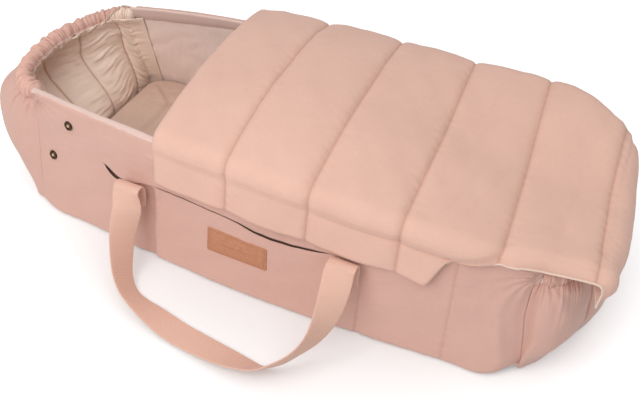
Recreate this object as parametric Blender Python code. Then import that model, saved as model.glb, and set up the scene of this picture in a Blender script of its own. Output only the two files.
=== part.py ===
"""Soft-sided carrycot with padded ends, a channelled quilt and two webbing handles.

Metres, +Z up. The origin is at the middle of the underside. +X runs to the foot end and
-Y is the near side, where the leather label is sewn.
"""
import math

import bmesh
import bpy
import numpy as np

# Shell: the plan at the floor and at the rim, measured on the outer fabric
CORNER_X = 0.325
RIM_HALF_WIDTH = 0.111
RIM_BOW = 0.031
BASE_HALF_WIDTH = 0.140
BASE_BOW = 0.027
HEAD_RIM_HEIGHT = 0.165
FOOT_RIM_HEIGHT = 0.150
RIM_RISE = 0.020

# Padded ends: how far they stand out past the corner seams
HEAD_BASE_DEPTH = 0.041
HEAD_RIM_DEPTH = 0.062
HEAD_LEAN_SHARE = 0.27
HEAD_BULGE = 0.033
FOOT_BASE_DEPTH = 0.042
FOOT_RIM_DEPTH = 0.0500
FOOT_LEAN_SHARE = -0.08
FOOT_BULGE = 0.0180
END_CHANNELS = 4
END_OUTER_CROWN = 0.004
END_LINING_CROWN = 0.007
END_FULLNESS_SHARE = 2.0
BULGE_PLACE_SHARE = 1.5

# Layers of the side walls, from the outer fabric inwards
SEAT_GAP = 0.0003
FABRIC = 0.0012
WEBBING_THICKNESS = 0.0020
BOARD_THICKNESS = 0.0045

# Base and mattress
BASE_FABRIC = 0.0015
BASE_BOARD_THICKNESS = 0.0030
MATTRESS_CORE = 0.018
MATTRESS_COVER = 0.008
MATTRESS_CROWN = 0.004
MATTRESS_SIDE_GAP = 0.003
MATTRESS_END_GAP = 0.009
MATTRESS_EDGE_RADIUS = 0.005

# Gathered casings with the elastic inside, along the top of each end
CASING_HEIGHT = 0.026
CASING_THICKNESS = 0.018
CASING_BORE_HEIGHT = 0.0170
CASING_BORE_THICKNESS = 0.0042
CASING_GATHERS = 16
GATHER_DEPTH = 0.0020
ELASTIC_HEIGHT = 0.0150
ELASTIC_THICKNESS = 0.0014

# Handle slots and pockets in the outer fabric
SLOT_HEIGHT_ABOVE_FLOOR = 0.109
SLOT_GAP = 0.0030
SLOT_HEAD_X = -0.202
SLOT_FOOT_X = 0.160
POCKET_HEAD_X = -0.130
POCKET_FOOT_X = 0.140
POCKET_HEM = 0.010
POCKET_TOP_GAP = 0.003

# Webbing handles
HANDLE_MIDDLE_X = -0.0155
HANDLE_SPACING = 0.277
HANDLE_WIDTH = 0.034
HANDLE_REACH = 0.093
HANDLE_STAND_OUT = 0.0194
HANDLE_FLOOR_CLEARANCE = 0.0006
FOLD_RADIUS = 0.0013
STRAP_END_BOTTOM = 0.020

# Leather label
LABEL_MIDDLE_X = -0.0170
LABEL_LENGTH = 0.079
LABEL_HEIGHT = 0.033
LABEL_BOTTOM = 0.054
LABEL_THICKNESS = 0.0018

# Open-ring press studs near the head end
STUD_RADIUS = 0.0062
STUD_HEAD_HEIGHT = 0.0022
STUD_BORE_RADIUS = 0.0012
STUD_POST_RADIUS = 0.0022
STUD_HOLE_CLEARANCE = 0.0003
STUD_BACK_RADIUS = 0.0052
STUD_BACK_THICKNESS = 0.0008
STUD_LOCKING = 0.0002
UPPER_STUD_X = -0.266
UPPER_STUD_HEIGHT = 0.139
LOWER_STUD_X = -0.300
LOWER_STUD_HEIGHT = 0.082

# Quilt: six sewn channels from the head edge to the foot, the last two over the foot end
QUILT_HEAD_X = -0.1405
QUILT_CHANNEL_WIDTH = 0.1010
QUILT_CHANNELS = 4
QUILT_THICKNESS = 0.015
QUILT_SEAM_THICKNESS = 0.006
QUILT_SEAT_GAP = 0.0004
QUILT_CLEARANCE = 0.0025
QUILT_FOLD_RADIUS = 0.0025
QUILT_FLAP = 0.058
QUILT_EDGE_DROP = 0.0065
QUILT_FAR_OVERHANG = 0.030
QUILT_FAR_RISE = 0.016
QUILT_FAR_LIFT = 0.005
QUILT_FAR_START_X = -0.100
QUILT_FOOT_DROP = 0.036
FLAP_END_X = 0.212
FLAP_END_FADE = 0.030
QUILT_HEAD_RISE = 0.018
QUILT_MIDDLE_RISE = 0.026
QUILT_FOOT_RISE = 0.002
QUILT_HINGE_GAP = 0.0006
QUILT_RISE_PLACE_SHARES = (0.0, 1.5, 3.5)
QUILT_SKEW_SHARES = (-0.060, -0.045, -0.045, -0.070, -0.105)

PINK = (0.72, 0.46, 0.38, 1.0)
QUILT_PINK = (0.76, 0.49, 0.39, 1.0)
PALE_PINK = (0.83, 0.64, 0.57, 1.0)
LINER_BEIGE = (0.62, 0.40, 0.29, 1.0)
LEATHER_TAN = (0.54, 0.23, 0.13, 1.0)
DARK_BRASS = (0.12, 0.08, 0.05, 1.0)
BOARD_GREY = (0.55, 0.52, 0.48, 1.0)
WHITE = (0.85, 0.84, 0.82, 1.0)

WALL = 3 * SEAT_GAP + 2 * FABRIC + WEBBING_THICKNESS + BOARD_THICKNESS
WEBBING_DEPTH = FABRIC + SEAT_GAP
BOARD_DEPTH = WEBBING_DEPTH + WEBBING_THICKNESS + SEAT_GAP
LINING_DEPTH = WALL - FABRIC
WALL_FOOT = BASE_FABRIC + SEAT_GAP
NEAR, FAR = -1, 1
HEAD, FOOT = -1, 1


def clear_scene():
    """Remove what the scene holds, so that the script can be run again."""
    for item in list(bpy.data.objects):
        bpy.data.objects.remove(item, do_unlink=True)


def finish(name, colour, roughness, metallic=0.0):
    """Principled material of one colour."""
    material = bpy.data.materials.new(name)
    material.use_nodes = True
    shader = material.node_tree.nodes["Principled BSDF"]
    shader.inputs["Base Color"].default_value = colour
    shader.inputs["Roughness"].default_value = roughness
    shader.inputs["Metallic"].default_value = metallic
    material.diffuse_color = colour
    return material


def add_object(name, points, faces, material):
    """Closed mesh object with its faces turned outwards."""
    shell = bmesh.new()
    corners = [shell.verts.new(point) for point in points]
    for face in faces:
        shell.faces.new([corners[index] for index in face])
    bmesh.ops.recalc_face_normals(shell, faces=shell.faces)
    mesh = bpy.data.meshes.new(name)
    shell.to_mesh(mesh)
    shell.free()
    mesh.materials.append(material)
    mesh.shade_smooth()
    mesh.set_sharp_from_angle(angle=math.radians(40))
    item = bpy.data.objects.new(name, mesh)
    bpy.context.scene.collection.objects.link(item)
    return item


def sheet_solid(name, front, back, material):
    """Closed sheet between two grids of points, front and back, of the same size. Each square
    of a grid is split along the same diagonal, so that neighbouring layers stay parallel."""
    rows, columns = front.shape[:2]
    count = rows * columns
    points = np.concatenate([front.reshape(-1, 3), back.reshape(-1, 3)])
    index = np.arange(count).reshape(rows, columns)
    faces = []
    for i in range(rows - 1):
        for j in range(columns - 1):
            a, b, c, d = index[i, j], index[i + 1, j], index[i + 1, j + 1], index[i, j + 1]
            for half in ((a, b, c), (a, c, d)):
                faces.append(half)
                faces.append(tuple(corner + count for corner in reversed(half)))
    border = list(index[:, 0]) + list(index[-1, 1:]) + list(index[-2::-1, -1]) + list(index[0, -2:0:-1])
    for here, there in zip(border, border[1:] + border[:1]):
        faces.append((there, here, here + count, there + count))
    return add_object(name, points, faces, material)


def loft_solid(name, loops, material):
    """Solid through closed loops of points, with a flat face on the first and the last."""
    rings = len(loops)
    around = len(loops[0])
    points = np.concatenate(loops)
    faces = []
    for ring in range(rings - 1):
        for k in range(around):
            here = ring * around + k
            there = ring * around + (k + 1) % around
            faces.append((here, there, there + around, here + around))
    faces.append(tuple(range(around)))
    faces.append(tuple(range((rings - 1) * around, rings * around)))
    return add_object(name, points, faces, material)


def pipe_solid(name, outer_loops, bore_loops, material):
    """Tube with a bore: outer loops and bore loops share the number of points in a loop."""
    around = len(outer_loops[0])
    loops = list(outer_loops) + list(reversed(bore_loops))
    rings = len(loops)
    points = np.concatenate(loops)
    faces = []
    for ring in range(rings):
        following = (ring + 1) % rings
        for k in range(around):
            turn = (k + 1) % around
            faces.append((ring * around + k, ring * around + turn,
                          following * around + turn, following * around + k))
    return add_object(name, points, faces, material)


def turned_solid(name, profile, centre, axis, segments, material):
    """Ring turned about an axis through centre; the profile is a closed (radius, along) loop."""
    axis = np.asarray(axis) / np.linalg.norm(axis)
    across = np.cross(axis, (0.0, 0.0, 1.0))
    across /= np.linalg.norm(across)
    up = np.cross(across, axis)
    angles = np.linspace(0.0, 2 * math.pi, segments, endpoint=False)
    spokes = np.cos(angles)[:, None] * across + np.sin(angles)[:, None] * up
    points = []
    for radius, along in profile:
        points.append(np.asarray(centre) + radius * spokes + along * axis)
    rings = len(profile)
    faces = []
    for ring in range(rings):
        following = (ring + 1) % rings
        for k in range(segments):
            turn = (k + 1) % segments
            faces.append((ring * segments + k, ring * segments + turn,
                          following * segments + turn, following * segments + k))
    return add_object(name, np.concatenate(points), faces, material)


def cut(item, cutter):
    """Cut an object with another, which then stays as a hidden guide."""
    cutter.hide_render = True
    cutter.display_type = "WIRE"
    step = item.modifiers.new("cut_" + cutter.name, "BOOLEAN")
    step.operation = "DIFFERENCE"
    step.object = cutter


def box_solid(name, low, high, material):
    """Plain box between two corners."""
    corners = np.array([(x, y, z) for z in (low[2], high[2])
                        for x, y in ((low[0], low[1]), (high[0], low[1]),
                                     (high[0], high[1]), (low[0], high[1]))])
    return loft_solid(name, [corners[:4], corners[4:]], material)


def handle_pivot_y():
    """How far out the handles fold: they stand out from the wall at the height of the slot."""
    return float(side_half_width(HANDLE_MIDDLE_X, SLOT_HEIGHT_ABOVE_FLOOR)) + HANDLE_STAND_OUT


def rim_height(x):
    """Height of the rim over the floor: it dips at the corner seams, where the elastic pulls."""
    along = np.clip(np.asarray(x) / CORNER_X, -1.0, 1.0)
    middle = (HEAD_RIM_HEIGHT + FOOT_RIM_HEIGHT) / 2
    slope = (FOOT_RIM_HEIGHT - HEAD_RIM_HEIGHT) / 2
    return middle + slope * along + RIM_RISE * (1 - along ** 2)


def side_half_width(x, z):
    """Half width over the outer fabric at a place along the wall and a height."""
    bow = 1 - np.clip(np.asarray(x) / CORNER_X, -1.0, 1.0) ** 2
    base = BASE_HALF_WIDTH + BASE_BOW * bow
    rim = RIM_HALF_WIDTH + RIM_BOW * bow
    return base + (rim - base) * z / rim_height(x)


def side_grid(side, xs, lower, upper, rows, depth):
    """Grid of points on a side wall, a depth inside the outer fabric, between two heights."""
    rise = np.linspace(0.0, 1.0, rows)[:, None]
    x = np.broadcast_to(xs[None, :], (rows, len(xs)))
    z = lower + (upper - lower) * rise
    z = np.broadcast_to(z, x.shape)
    y = side * (side_half_width(x, z) - depth)
    return np.stack([x, y, z], axis=2)


def side_sheet(name, side, x_range, lower, upper, depth, thickness, grid, material):
    """Sheet that follows a side wall, from a depth inwards by its thickness."""
    columns, rows = grid
    xs = np.linspace(x_range[0], x_range[1], columns)
    low = lower(xs) if callable(lower) else np.full(columns, lower)
    high = upper(xs) if callable(upper) else np.full(columns, upper)
    front = side_grid(side, xs, low, high, rows, depth)
    back = side_grid(side, xs, low, high, rows, depth + thickness)
    return sheet_solid(name, front, back, material)


def end_arc(end, across, rise, depth):
    """Point on a padded end: across runs -1 to 1 from the near to the far corner seam, rise
    runs 0 to 1 from the floor to the rim, and depth lies inside the outer fabric."""
    height = HEAD_RIM_HEIGHT if end == HEAD else FOOT_RIM_HEIGHT
    low_depth = HEAD_BASE_DEPTH if end == HEAD else FOOT_BASE_DEPTH
    rim_depth = HEAD_RIM_DEPTH if end == HEAD else FOOT_RIM_DEPTH
    lean = HEAD_LEAN_SHARE if end == HEAD else FOOT_LEAN_SHARE
    bulge = HEAD_BULGE if end == HEAD else FOOT_BULGE
    turn = np.asarray(across) * math.pi / 2
    reach = low_depth + (rim_depth - low_depth) * rise + bulge * np.sin(math.pi * rise ** BULGE_PLACE_SHARE)
    width = BASE_HALF_WIDTH + (RIM_HALF_WIDTH - BASE_HALF_WIDTH) * rise
    full_share = 2 / END_FULLNESS_SHARE
    out = (reach - depth) * np.abs(np.cos(turn)) ** full_share - lean * reach * np.sin(2 * turn)
    y = (width - depth) * np.sign(turn) * np.abs(np.sin(turn)) ** full_share
    x = end * (CORNER_X + SEAT_GAP / 2 + out)
    z = rise * height + 0.0 * x
    return np.stack(np.broadcast_arrays(x, y, z), axis=-1)


def end_panel(name, end, depth, thickness, crown, material):
    """Padded panel of an end, with upright sewn channels that swell on one face. A positive
    crown swells outwards and a negative one swells inwards."""
    height = HEAD_RIM_HEIGHT if end == HEAD else FOOT_RIM_HEIGHT
    top_share = (height - CASING_HEIGHT - SEAT_GAP) / height
    across = np.linspace(-1.0, 1.0, END_CHANNELS * 5 + 1)[None, :]
    rise = np.linspace(WALL_FOOT / height, top_share, 7)[:, None]
    swell = np.abs(np.sin(END_CHANNELS * math.pi * (across + 1) / 2)) ** 0.6
    swell = swell * np.maximum(np.sin(math.pi * rise / top_share), 0.0) ** 0.5
    outer_depth = depth - max(crown, 0.0) * swell
    inner_depth = depth + thickness - min(crown, 0.0) * swell
    front = end_arc(end, across, rise, outer_depth)
    back = end_arc(end, across, rise, inner_depth)
    return sheet_solid(name, front, back, material)


def casing_loops(end, steps, height, thickness, gathers):
    """Loops of an upright oval carried along the top of an end."""
    rim = HEAD_RIM_HEIGHT if end == HEAD else FOOT_RIM_HEIGHT
    rise = 1 - CASING_HEIGHT / 2 / rim
    across = np.linspace(-1.0, 1.0, steps)
    middle = end_arc(end, across, rise, CASING_THICKNESS / 2 + GATHER_DEPTH)
    outer = end_arc(end, across, rise, CASING_THICKNESS / 2)
    outward = outer - middle
    outward /= np.linalg.norm(outward, axis=1)[:, None]
    angles = np.linspace(0.0, 2 * math.pi, 8, endpoint=False) + math.pi / 8
    ripple = GATHER_DEPTH * (0.5 - 0.5 * np.cos(2 * math.pi * gathers * (across + 1) / 2))
    loops = []
    for centre, direction, pleat in zip(middle, outward, ripple):
        wide = thickness / 2 - (pleat if gathers else 0.0)
        tall = height / 2 - (pleat / 2 if gathers else 0.0)
        loop = centre + np.cos(angles)[:, None] * wide * direction
        loop[:, 2] += np.sin(angles) * tall
        loops.append(loop)
    return loops


def elastic_casing(prefix, end, fabric, rubber):
    """Gathered casing along the top of an end, and the flat elastic inside it."""
    outer = casing_loops(end, CASING_GATHERS * 3 + 1, CASING_HEIGHT, CASING_THICKNESS, CASING_GATHERS)
    bore = casing_loops(end, 17, CASING_BORE_HEIGHT, CASING_BORE_THICKNESS, 0)
    pipe_solid(prefix + "_elastic_casing", outer, bore, fabric)
    band = casing_loops(end, 17, ELASTIC_HEIGHT, ELASTIC_THICKNESS, 0)
    loft_solid(prefix + "_elastic", band, rubber)


def plan_loop(z, side_inset, end_inset, side_steps=12, end_steps=14):
    """Closed loop inside the shell at a height, kept off the walls and the ends."""
    xs = np.linspace(-CORNER_X, CORNER_X, side_steps, endpoint=False)
    near = np.stack([xs, -(side_half_width(xs, z) - side_inset), 0 * xs + z], axis=1)
    far = near * (-1.0, -1.0, 1.0)
    far[:, 1] = side_half_width(-xs, z) - side_inset
    ends = []
    for end, height in ((FOOT, FOOT_RIM_HEIGHT), (HEAD, HEAD_RIM_HEIGHT)):
        across = np.linspace(-1.0, 1.0, end_steps, endpoint=False) * end
        arc = end_arc(end, across, z / height, 0.0)
        reach = np.abs(arc[:, 0]) - CORNER_X
        turn = across * math.pi / 2
        inset = side_inset + (end_inset - side_inset) * np.abs(np.cos(turn)) ** 0.1
        arc[:, 0] = end * (CORNER_X + reach - end_inset * np.cos(turn))
        arc[:, 1] -= inset * np.sin(turn)
        arc[:, 2] = z
        ends.append(arc)
    return np.concatenate([near, ends[0], far, ends[1]])


def build_base(fabric, board, foam, liner):
    """Base fabric, base board, mattress core and the quilted mattress cover."""
    loft_solid("base_panel", [plan_loop(0.0, 0.0, 0.0), plan_loop(BASE_FABRIC, 0.0, 0.0)], fabric)
    board_foot = WALL_FOOT
    board_top = board_foot + BASE_BOARD_THICKNESS
    inside = WALL + SEAT_GAP
    crowned_inside = inside + END_LINING_CROWN
    loft_solid("base_board", [plan_loop(board_foot, inside, crowned_inside),
                              plan_loop(board_top, inside, crowned_inside)], board)
    core_foot = board_top + SEAT_GAP
    core_top = core_foot + MATTRESS_CORE
    side_inset = inside + MATTRESS_SIDE_GAP
    end_inset = crowned_inside + MATTRESS_END_GAP
    loft_solid("mattress_core", cushion_loops(core_foot, core_top, side_inset, end_inset, 0.0), foam)
    cover_foot = core_top + SEAT_GAP
    cover_top = cover_foot + MATTRESS_COVER
    loops = cushion_loops(cover_foot, cover_top, side_inset, end_inset, MATTRESS_CROWN)
    loft_solid("mattress_cover", loops, liner)


def cushion_loops(foot, top, side_inset, end_inset, crown):
    """Loops of a pad with rounded edges and a crowned top."""
    radius = min(MATTRESS_EDGE_RADIUS, (top - foot) / 2)
    loops = []
    for share in (0.0, 0.4, 1.0):
        turn = share * math.pi / 2
        inset = radius * (1 - math.sin(turn))
        height = foot + radius * (1 - math.cos(turn))
        loops.append(plan_loop(height, side_inset + inset, end_inset + inset))
    for share in (0.0, 0.6, 1.0):
        turn = share * math.pi / 2
        inset = radius * (1 - math.cos(turn))
        height = top - radius * (1 - math.sin(turn))
        loops.append(plan_loop(height, side_inset + inset, end_inset + inset))
    rim = loops[-1]
    middle = rim.mean(axis=0)
    if crown:
        for share in (0.8, 0.5):
            ring = middle + (rim - middle) * share
            ring[:, 2] = top + crown * (1 - share ** 2)
            loops.append(ring)
    return loops


def slot_cutter(side, material):
    """Long slot in the outer fabric, above the pocket, that the webbing comes out of."""
    y_near = side * (RIM_HALF_WIDTH + RIM_BOW)
    low_y, high_y = sorted((y_near / 2, y_near * 2))
    z_low = SLOT_HEIGHT_ABOVE_FLOOR - SLOT_GAP / 2
    z_high = SLOT_HEIGHT_ABOVE_FLOOR + SLOT_GAP / 2
    return box_solid("slot_cutter_" + str(side), (SLOT_HEAD_X, low_y, z_low),
                     (SLOT_FOOT_X, high_y, z_high), material)


def wall_place(side, x, z):
    """Point on a side wall and the wall's outward direction there."""
    step = FABRIC

    def at(px, pz):
        return np.array([px, side * float(side_half_width(px, pz)), pz])

    along = at(x + step, z) - at(x - step, z)
    rise = at(x, z + step) - at(x, z - step)
    outward = np.cross(along, rise)
    outward *= side * np.sign(outward[1]) / np.linalg.norm(outward)
    return at(x, z), outward


def press_stud(prefix, side, x, z, panel, brass, guide):
    """Open-ring press stud through the outer fabric, with its back washer inside."""
    centre, outward = wall_place(side, x, z)
    inside = -(FABRIC + SEAT_GAP)
    head_foot = SEAT_GAP
    head_top = head_foot + STUD_HEAD_HEIGHT
    tip = inside - STUD_BACK_THICKNESS - STUD_LOCKING
    profile = [(STUD_BORE_RADIUS, tip), (STUD_POST_RADIUS, tip), (STUD_POST_RADIUS, head_foot),
               (STUD_RADIUS, head_foot), (STUD_RADIUS * 0.97, (head_foot + head_top) / 2),
               (STUD_RADIUS * 0.80, head_top), (STUD_RADIUS * 0.55, head_top - STUD_HEAD_HEIGHT * 0.1),
               (STUD_POST_RADIUS, head_top - STUD_HEAD_HEIGHT * 0.6),
               (STUD_BORE_RADIUS, head_top - STUD_HEAD_HEIGHT * 0.7)]
    turned_solid(prefix + "_stud", profile, centre, outward, 14, brass)
    hole = STUD_POST_RADIUS + STUD_HOLE_CLEARANCE
    back = [(hole, inside), (hole, inside - STUD_BACK_THICKNESS),
            (STUD_BACK_RADIUS, inside - STUD_BACK_THICKNESS), (STUD_BACK_RADIUS, inside)]
    turned_solid(prefix + "_stud_back", back, centre, outward, 14, brass)
    reach = FABRIC * 4
    drill = turned_drill(prefix + "_stud_drill", hole, centre, outward, reach, guide)
    cut(panel, drill)


def turned_drill(name, radius, centre, axis, reach, material):
    """Round cutter through the fabric."""
    across = np.cross(axis, (0.0, 0.0, 1.0))
    across /= np.linalg.norm(across)
    up = np.cross(across, axis)
    angles = np.linspace(0.0, 2 * math.pi, 12, endpoint=False)
    spokes = radius * (np.cos(angles)[:, None] * across + np.sin(angles)[:, None] * up)
    return loft_solid(name, [centre + spokes - reach * axis, centre + spokes + reach * axis], material)


def build_side(prefix, side, looks):
    """One side wall: outer fabric with its slot, pocket, board, lining and rim facing."""
    run = (-CORNER_X + SEAT_GAP / 2, CORNER_X - SEAT_GAP / 2)
    panel = side_sheet(prefix + "_outer_panel", side, run, WALL_FOOT, rim_height, 0.0, FABRIC,
                       (23, 4), looks["pink"])
    cut(panel, slot_cutter(side, looks["guide"]))
    pocket_top = SLOT_HEIGHT_ABOVE_FLOOR - SLOT_GAP / 2 - POCKET_TOP_GAP
    side_sheet(prefix + "_pocket_panel", side, (POCKET_HEAD_X, POCKET_FOOT_X), POCKET_HEM, pocket_top,
               -FABRIC - SEAT_GAP, FABRIC, (12, 4), looks["pink"])
    facing_foot = FABRIC + SEAT_GAP
    side_sheet(prefix + "_side_board", side, run, WALL_FOOT, lambda x: rim_height(x) - facing_foot,
               BOARD_DEPTH, BOARD_THICKNESS, (23, 3), looks["board"])
    side_sheet(prefix + "_lining", side, run, WALL_FOOT, lambda x: rim_height(x) - facing_foot,
               LINING_DEPTH, FABRIC, (23, 3), looks["pale"])
    side_sheet(prefix + "_rim_facing", side, run, lambda x: rim_height(x) - FABRIC, rim_height,
               FABRIC + SEAT_GAP, WALL - FABRIC - SEAT_GAP, (23, 2), looks["pale"])
    for place, x, z in (("upper", UPPER_STUD_X, UPPER_STUD_HEIGHT),
                        ("lower", LOWER_STUD_X, LOWER_STUD_HEIGHT)):
        press_stud(prefix + "_" + place, side, x, z, panel, looks["brass"], looks["guide"])


def strap_end(name, side, middle_x, webbing):
    """Sewn end of a handle: it runs up inside the wall and out of the slot to the fold."""
    half = WEBBING_THICKNESS / 2
    xs = np.linspace(middle_x - HANDLE_WIDTH / 2, middle_x + HANDLE_WIDTH / 2, 4)
    slot = SLOT_HEIGHT_ABOVE_FLOOR
    low, mid = STRAP_END_BOTTOM, (STRAP_END_BOTTOM + slot) / 2

    def inside(z, depth):
        return np.stack([xs, side * (side_half_width(xs, z) - depth), 0 * xs + z], axis=1)

    def outside(out, z):
        return np.stack([xs, 0 * xs + side * out, 0 * xs + z], axis=1)

    outer_depth = WEBBING_DEPTH
    inner_depth = WEBBING_DEPTH + WEBBING_THICKNESS
    pivot = handle_pivot_y()
    nose = pivot + FOLD_RADIUS
    fold_start = pivot - FOLD_RADIUS
    front = [inside(low, outer_depth), inside(mid, outer_depth), inside(slot - half, outer_depth),
             outside(fold_start, slot - half), outside(pivot, slot - FOLD_RADIUS),
             outside(nose, slot - half / 3)]
    back = [inside(low, inner_depth), inside(mid, inner_depth), inside(slot + half, inner_depth),
            outside(fold_start, slot + half), outside(pivot, slot + FOLD_RADIUS),
            outside(nose, slot + half / 3)]
    return sheet_solid(name, np.array(front), np.array(back), webbing)


# Route of a handle at rest: place along as a share of half the spacing, how far out as a share
# of the reach, height as a share of the fold's height, and the direction of the webbing's width
HANDLE_ROUTE_SHARES = (
    (-1.000, 0.000, 1.000, 1.00, 0.00, 0.00),
    (-1.002, 0.095, 0.780, 1.00, 0.00, 0.00),
    (-1.022, 0.195, 0.550, 1.00, 0.02, 0.00),
    (-1.040, 0.310, 0.310, 1.00, 0.08, 0.02),
    (-0.975, 0.500, 0.115, 0.90, 0.38, 0.12),
    (-0.800, 0.660, 0.060, 0.60, 0.76, 0.14),
    (-0.495, 0.785, 0.042, 0.28, 0.95, 0.12),
    (-0.175, 0.886, 0.032, 0.20, 0.98, 0.06),
    (0.135, 0.943, 0.032, 0.10, 0.99, -0.04),
    (0.345, 0.965, 0.060, -0.12, 0.90, -0.40),
    (0.490, 0.965, 0.110, -0.25, 0.72, -0.64),
    (0.610, 0.910, 0.120, -0.30, 0.64, -0.70),
    (0.715, 0.810, 0.135, -0.22, 0.60, -0.76),
    (0.805, 0.680, 0.180, 0.05, 0.62, -0.78),
    (0.850, 0.540, 0.290, 0.42, 0.50, -0.75),
    (0.905, 0.400, 0.450, 0.75, 0.32, -0.56),
    (0.960, 0.265, 0.630, 0.94, 0.14, -0.28),
    (0.992, 0.130, 0.820, 1.00, 0.00, -0.04),
    (1.000, 0.000, 1.000, 1.00, 0.00, 0.00),
)


def smooth_route(knots, steps):
    """Smooth curve through knots, each stretch a cubic with slopes from its neighbours."""
    knots = np.asarray(knots, dtype=float)
    padded = np.vstack([2 * knots[0] - knots[1], knots, 2 * knots[-1] - knots[-2]])
    slopes = (padded[2:] - padded[:-2]) / 2
    places = np.linspace(0.0, len(knots) - 1, steps)
    start = np.minimum(places.astype(int), len(knots) - 2)
    share = (places - start)[:, None]
    p0, p1, m0, m1 = knots[start], knots[start + 1], slopes[start], slopes[start + 1]
    return ((2 * share ** 3 - 3 * share ** 2 + 1) * p0 + (share ** 3 - 2 * share ** 2 + share) * m0
            + (3 * share ** 2 - 2 * share ** 3) * p1 + (share ** 3 - share ** 2) * m1)


def handle_loop(name, side, webbing):
    """Webbing handle at rest: it hangs from its folds and lies out on the floor."""
    route = smooth_route(HANDLE_ROUTE_SHARES, 49)
    half_gauge = WEBBING_THICKNESS / 2
    x = HANDLE_MIDDLE_X + route[:, 0] * HANDLE_SPACING / 2
    out = handle_pivot_y() + route[:, 1] * HANDLE_REACH
    z = route[:, 2] * SLOT_HEIGHT_ABOVE_FLOOR
    centre = np.stack([x, -out, z], axis=1)
    forward = np.gradient(centre, axis=0)
    forward[[0, -1], 0] = 0.0
    forward /= np.linalg.norm(forward, axis=1)[:, None]
    width = route[:, 3:6]
    width = width - (width * forward).sum(axis=1)[:, None] * forward
    width /= np.linalg.norm(width, axis=1)[:, None]
    face = np.cross(forward, width)
    half = width * HANDLE_WIDTH / 2
    lowest = np.abs(half[:, 2]) + np.abs(face[:, 2]) * half_gauge + HANDLE_FLOOR_CLEARANCE
    centre[:, 2] = np.maximum(centre[:, 2], lowest)
    start = FOLD_RADIUS + SEAT_GAP
    centre[0] += forward[0] * start
    centre[-1] -= forward[-1] * start
    gauge = face * half_gauge
    loops = np.stack([centre - half + gauge, centre + half + gauge,
                      centre + half - gauge, centre - half - gauge], axis=1)
    loops[:, :, 1] *= -side
    return loft_solid(name, list(loops), webbing)


def quilt_mid(place):
    """Place along the middle line, and skew, at a place counted in channels from the head."""
    skews = np.interp(place, range(len(QUILT_SKEW_SHARES)), QUILT_SKEW_SHARES)
    return QUILT_HEAD_X + QUILT_CHANNEL_WIDTH * place, skews


def folded_run(station, span, drop):
    """Distance out and height below the top for a sheet that runs level, folds over a round
    edge and hangs: a station runs 0 to 1 on the level part, 1 to 2 round the edge and 2 to 3
    down the hanging part, and span is the distance out to the hanging part."""
    level = span - QUILT_FOLD_RADIUS
    hang = np.maximum(drop - QUILT_FOLD_RADIUS, 0.0)
    angle = np.clip(station - 1, 0.0, 1.0) * math.pi / 2
    out = level * np.minimum(station, 1.0) + QUILT_FOLD_RADIUS * np.sin(angle)
    below = QUILT_FOLD_RADIUS * (1 - np.cos(angle)) + hang * np.clip(station - 2, 0.0, 1.0)
    return out, below


def across_stations():
    """Stations across the quilt, the near side negative, closer together at the folds."""
    half = np.concatenate([np.linspace(0.0, 1.0, 6), (1.33, 1.67, 2.0, 2.4, 2.8, 3.0)])
    return np.concatenate([-half[:0:-1], half])[None, :]


def quilt_rise(x):
    """Height of the middle of the quilt over the rims: it stands proud and then settles."""
    places = [QUILT_HEAD_X + QUILT_CHANNEL_WIDTH * share for share in QUILT_RISE_PLACE_SHARES]
    return np.interp(x, places,
                     (QUILT_HEAD_RISE, QUILT_MIDDLE_RISE, QUILT_FOOT_RISE))


def rim_half_width(x):
    """Half width over the outer fabric at the rim."""
    return side_half_width(x, rim_height(x))


def quilt_span(middle, skew, station):
    """Distance out to the hanging part, on the side of the station."""
    edge_x = middle + skew * np.sign(station) * rim_half_width(middle)
    return rim_half_width(edge_x) + QUILT_CLEARANCE + QUILT_FAR_OVERHANG * far_share(middle, station)


def far_share(middle, station):
    """Share of the far side's overhang and rise, which grow from the head towards the foot."""
    hinge_x = quilt_mid(QUILT_CHANNELS)[0]
    along = np.clip((middle - QUILT_FAR_START_X) / (hinge_x - QUILT_FAR_START_X), 0.0, 1.0)
    return along ** 2 * (station > 0)


def far_lift(middle, station, share):
    """How much higher the far edge of the quilt stands, at a share of the way out to it."""
    height = QUILT_FAR_LIFT * (station > 0) + QUILT_FAR_RISE * far_share(middle, station)
    return height * np.sin(math.pi / 2 * np.minimum(share, 1.0))


def quilt_front_grid():
    """Underside of the quilt from its head edge to the fold line, over both rims."""
    place = np.linspace(0.0, QUILT_CHANNELS, QUILT_CHANNELS * 5 + 1)[:, None]
    station = across_stations()
    middle, skew = quilt_mid(place)
    span = quilt_span(middle, skew, station)
    fade = np.clip((FLAP_END_X - middle) / FLAP_END_FADE + 0.5, 0.0, 1.0)
    drop = QUILT_EDGE_DROP + (QUILT_FLAP - QUILT_EDGE_DROP) * fade
    out, below = folded_run(np.abs(station), span, drop)
    lean = (BASE_HALF_WIDTH - RIM_HALF_WIDTH) / rim_height(0.0)
    hung = np.maximum(below - QUILT_FOLD_RADIUS, 0.0)
    tuck = QUILT_FAR_OVERHANG * far_share(middle, station) * np.clip(station - 2, 0.0, 1.0)
    y = np.sign(station) * (out + hung * lean - tuck)
    x = middle + skew * y
    rise = quilt_rise(middle) * (1 - (np.minimum(out, span) / span) ** 2)
    z = rim_height(x) + QUILT_SEAT_GAP + rise + far_lift(middle, station, out / span) - below
    return np.stack(np.broadcast_arrays(x, y, z), axis=2), place, station


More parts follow.
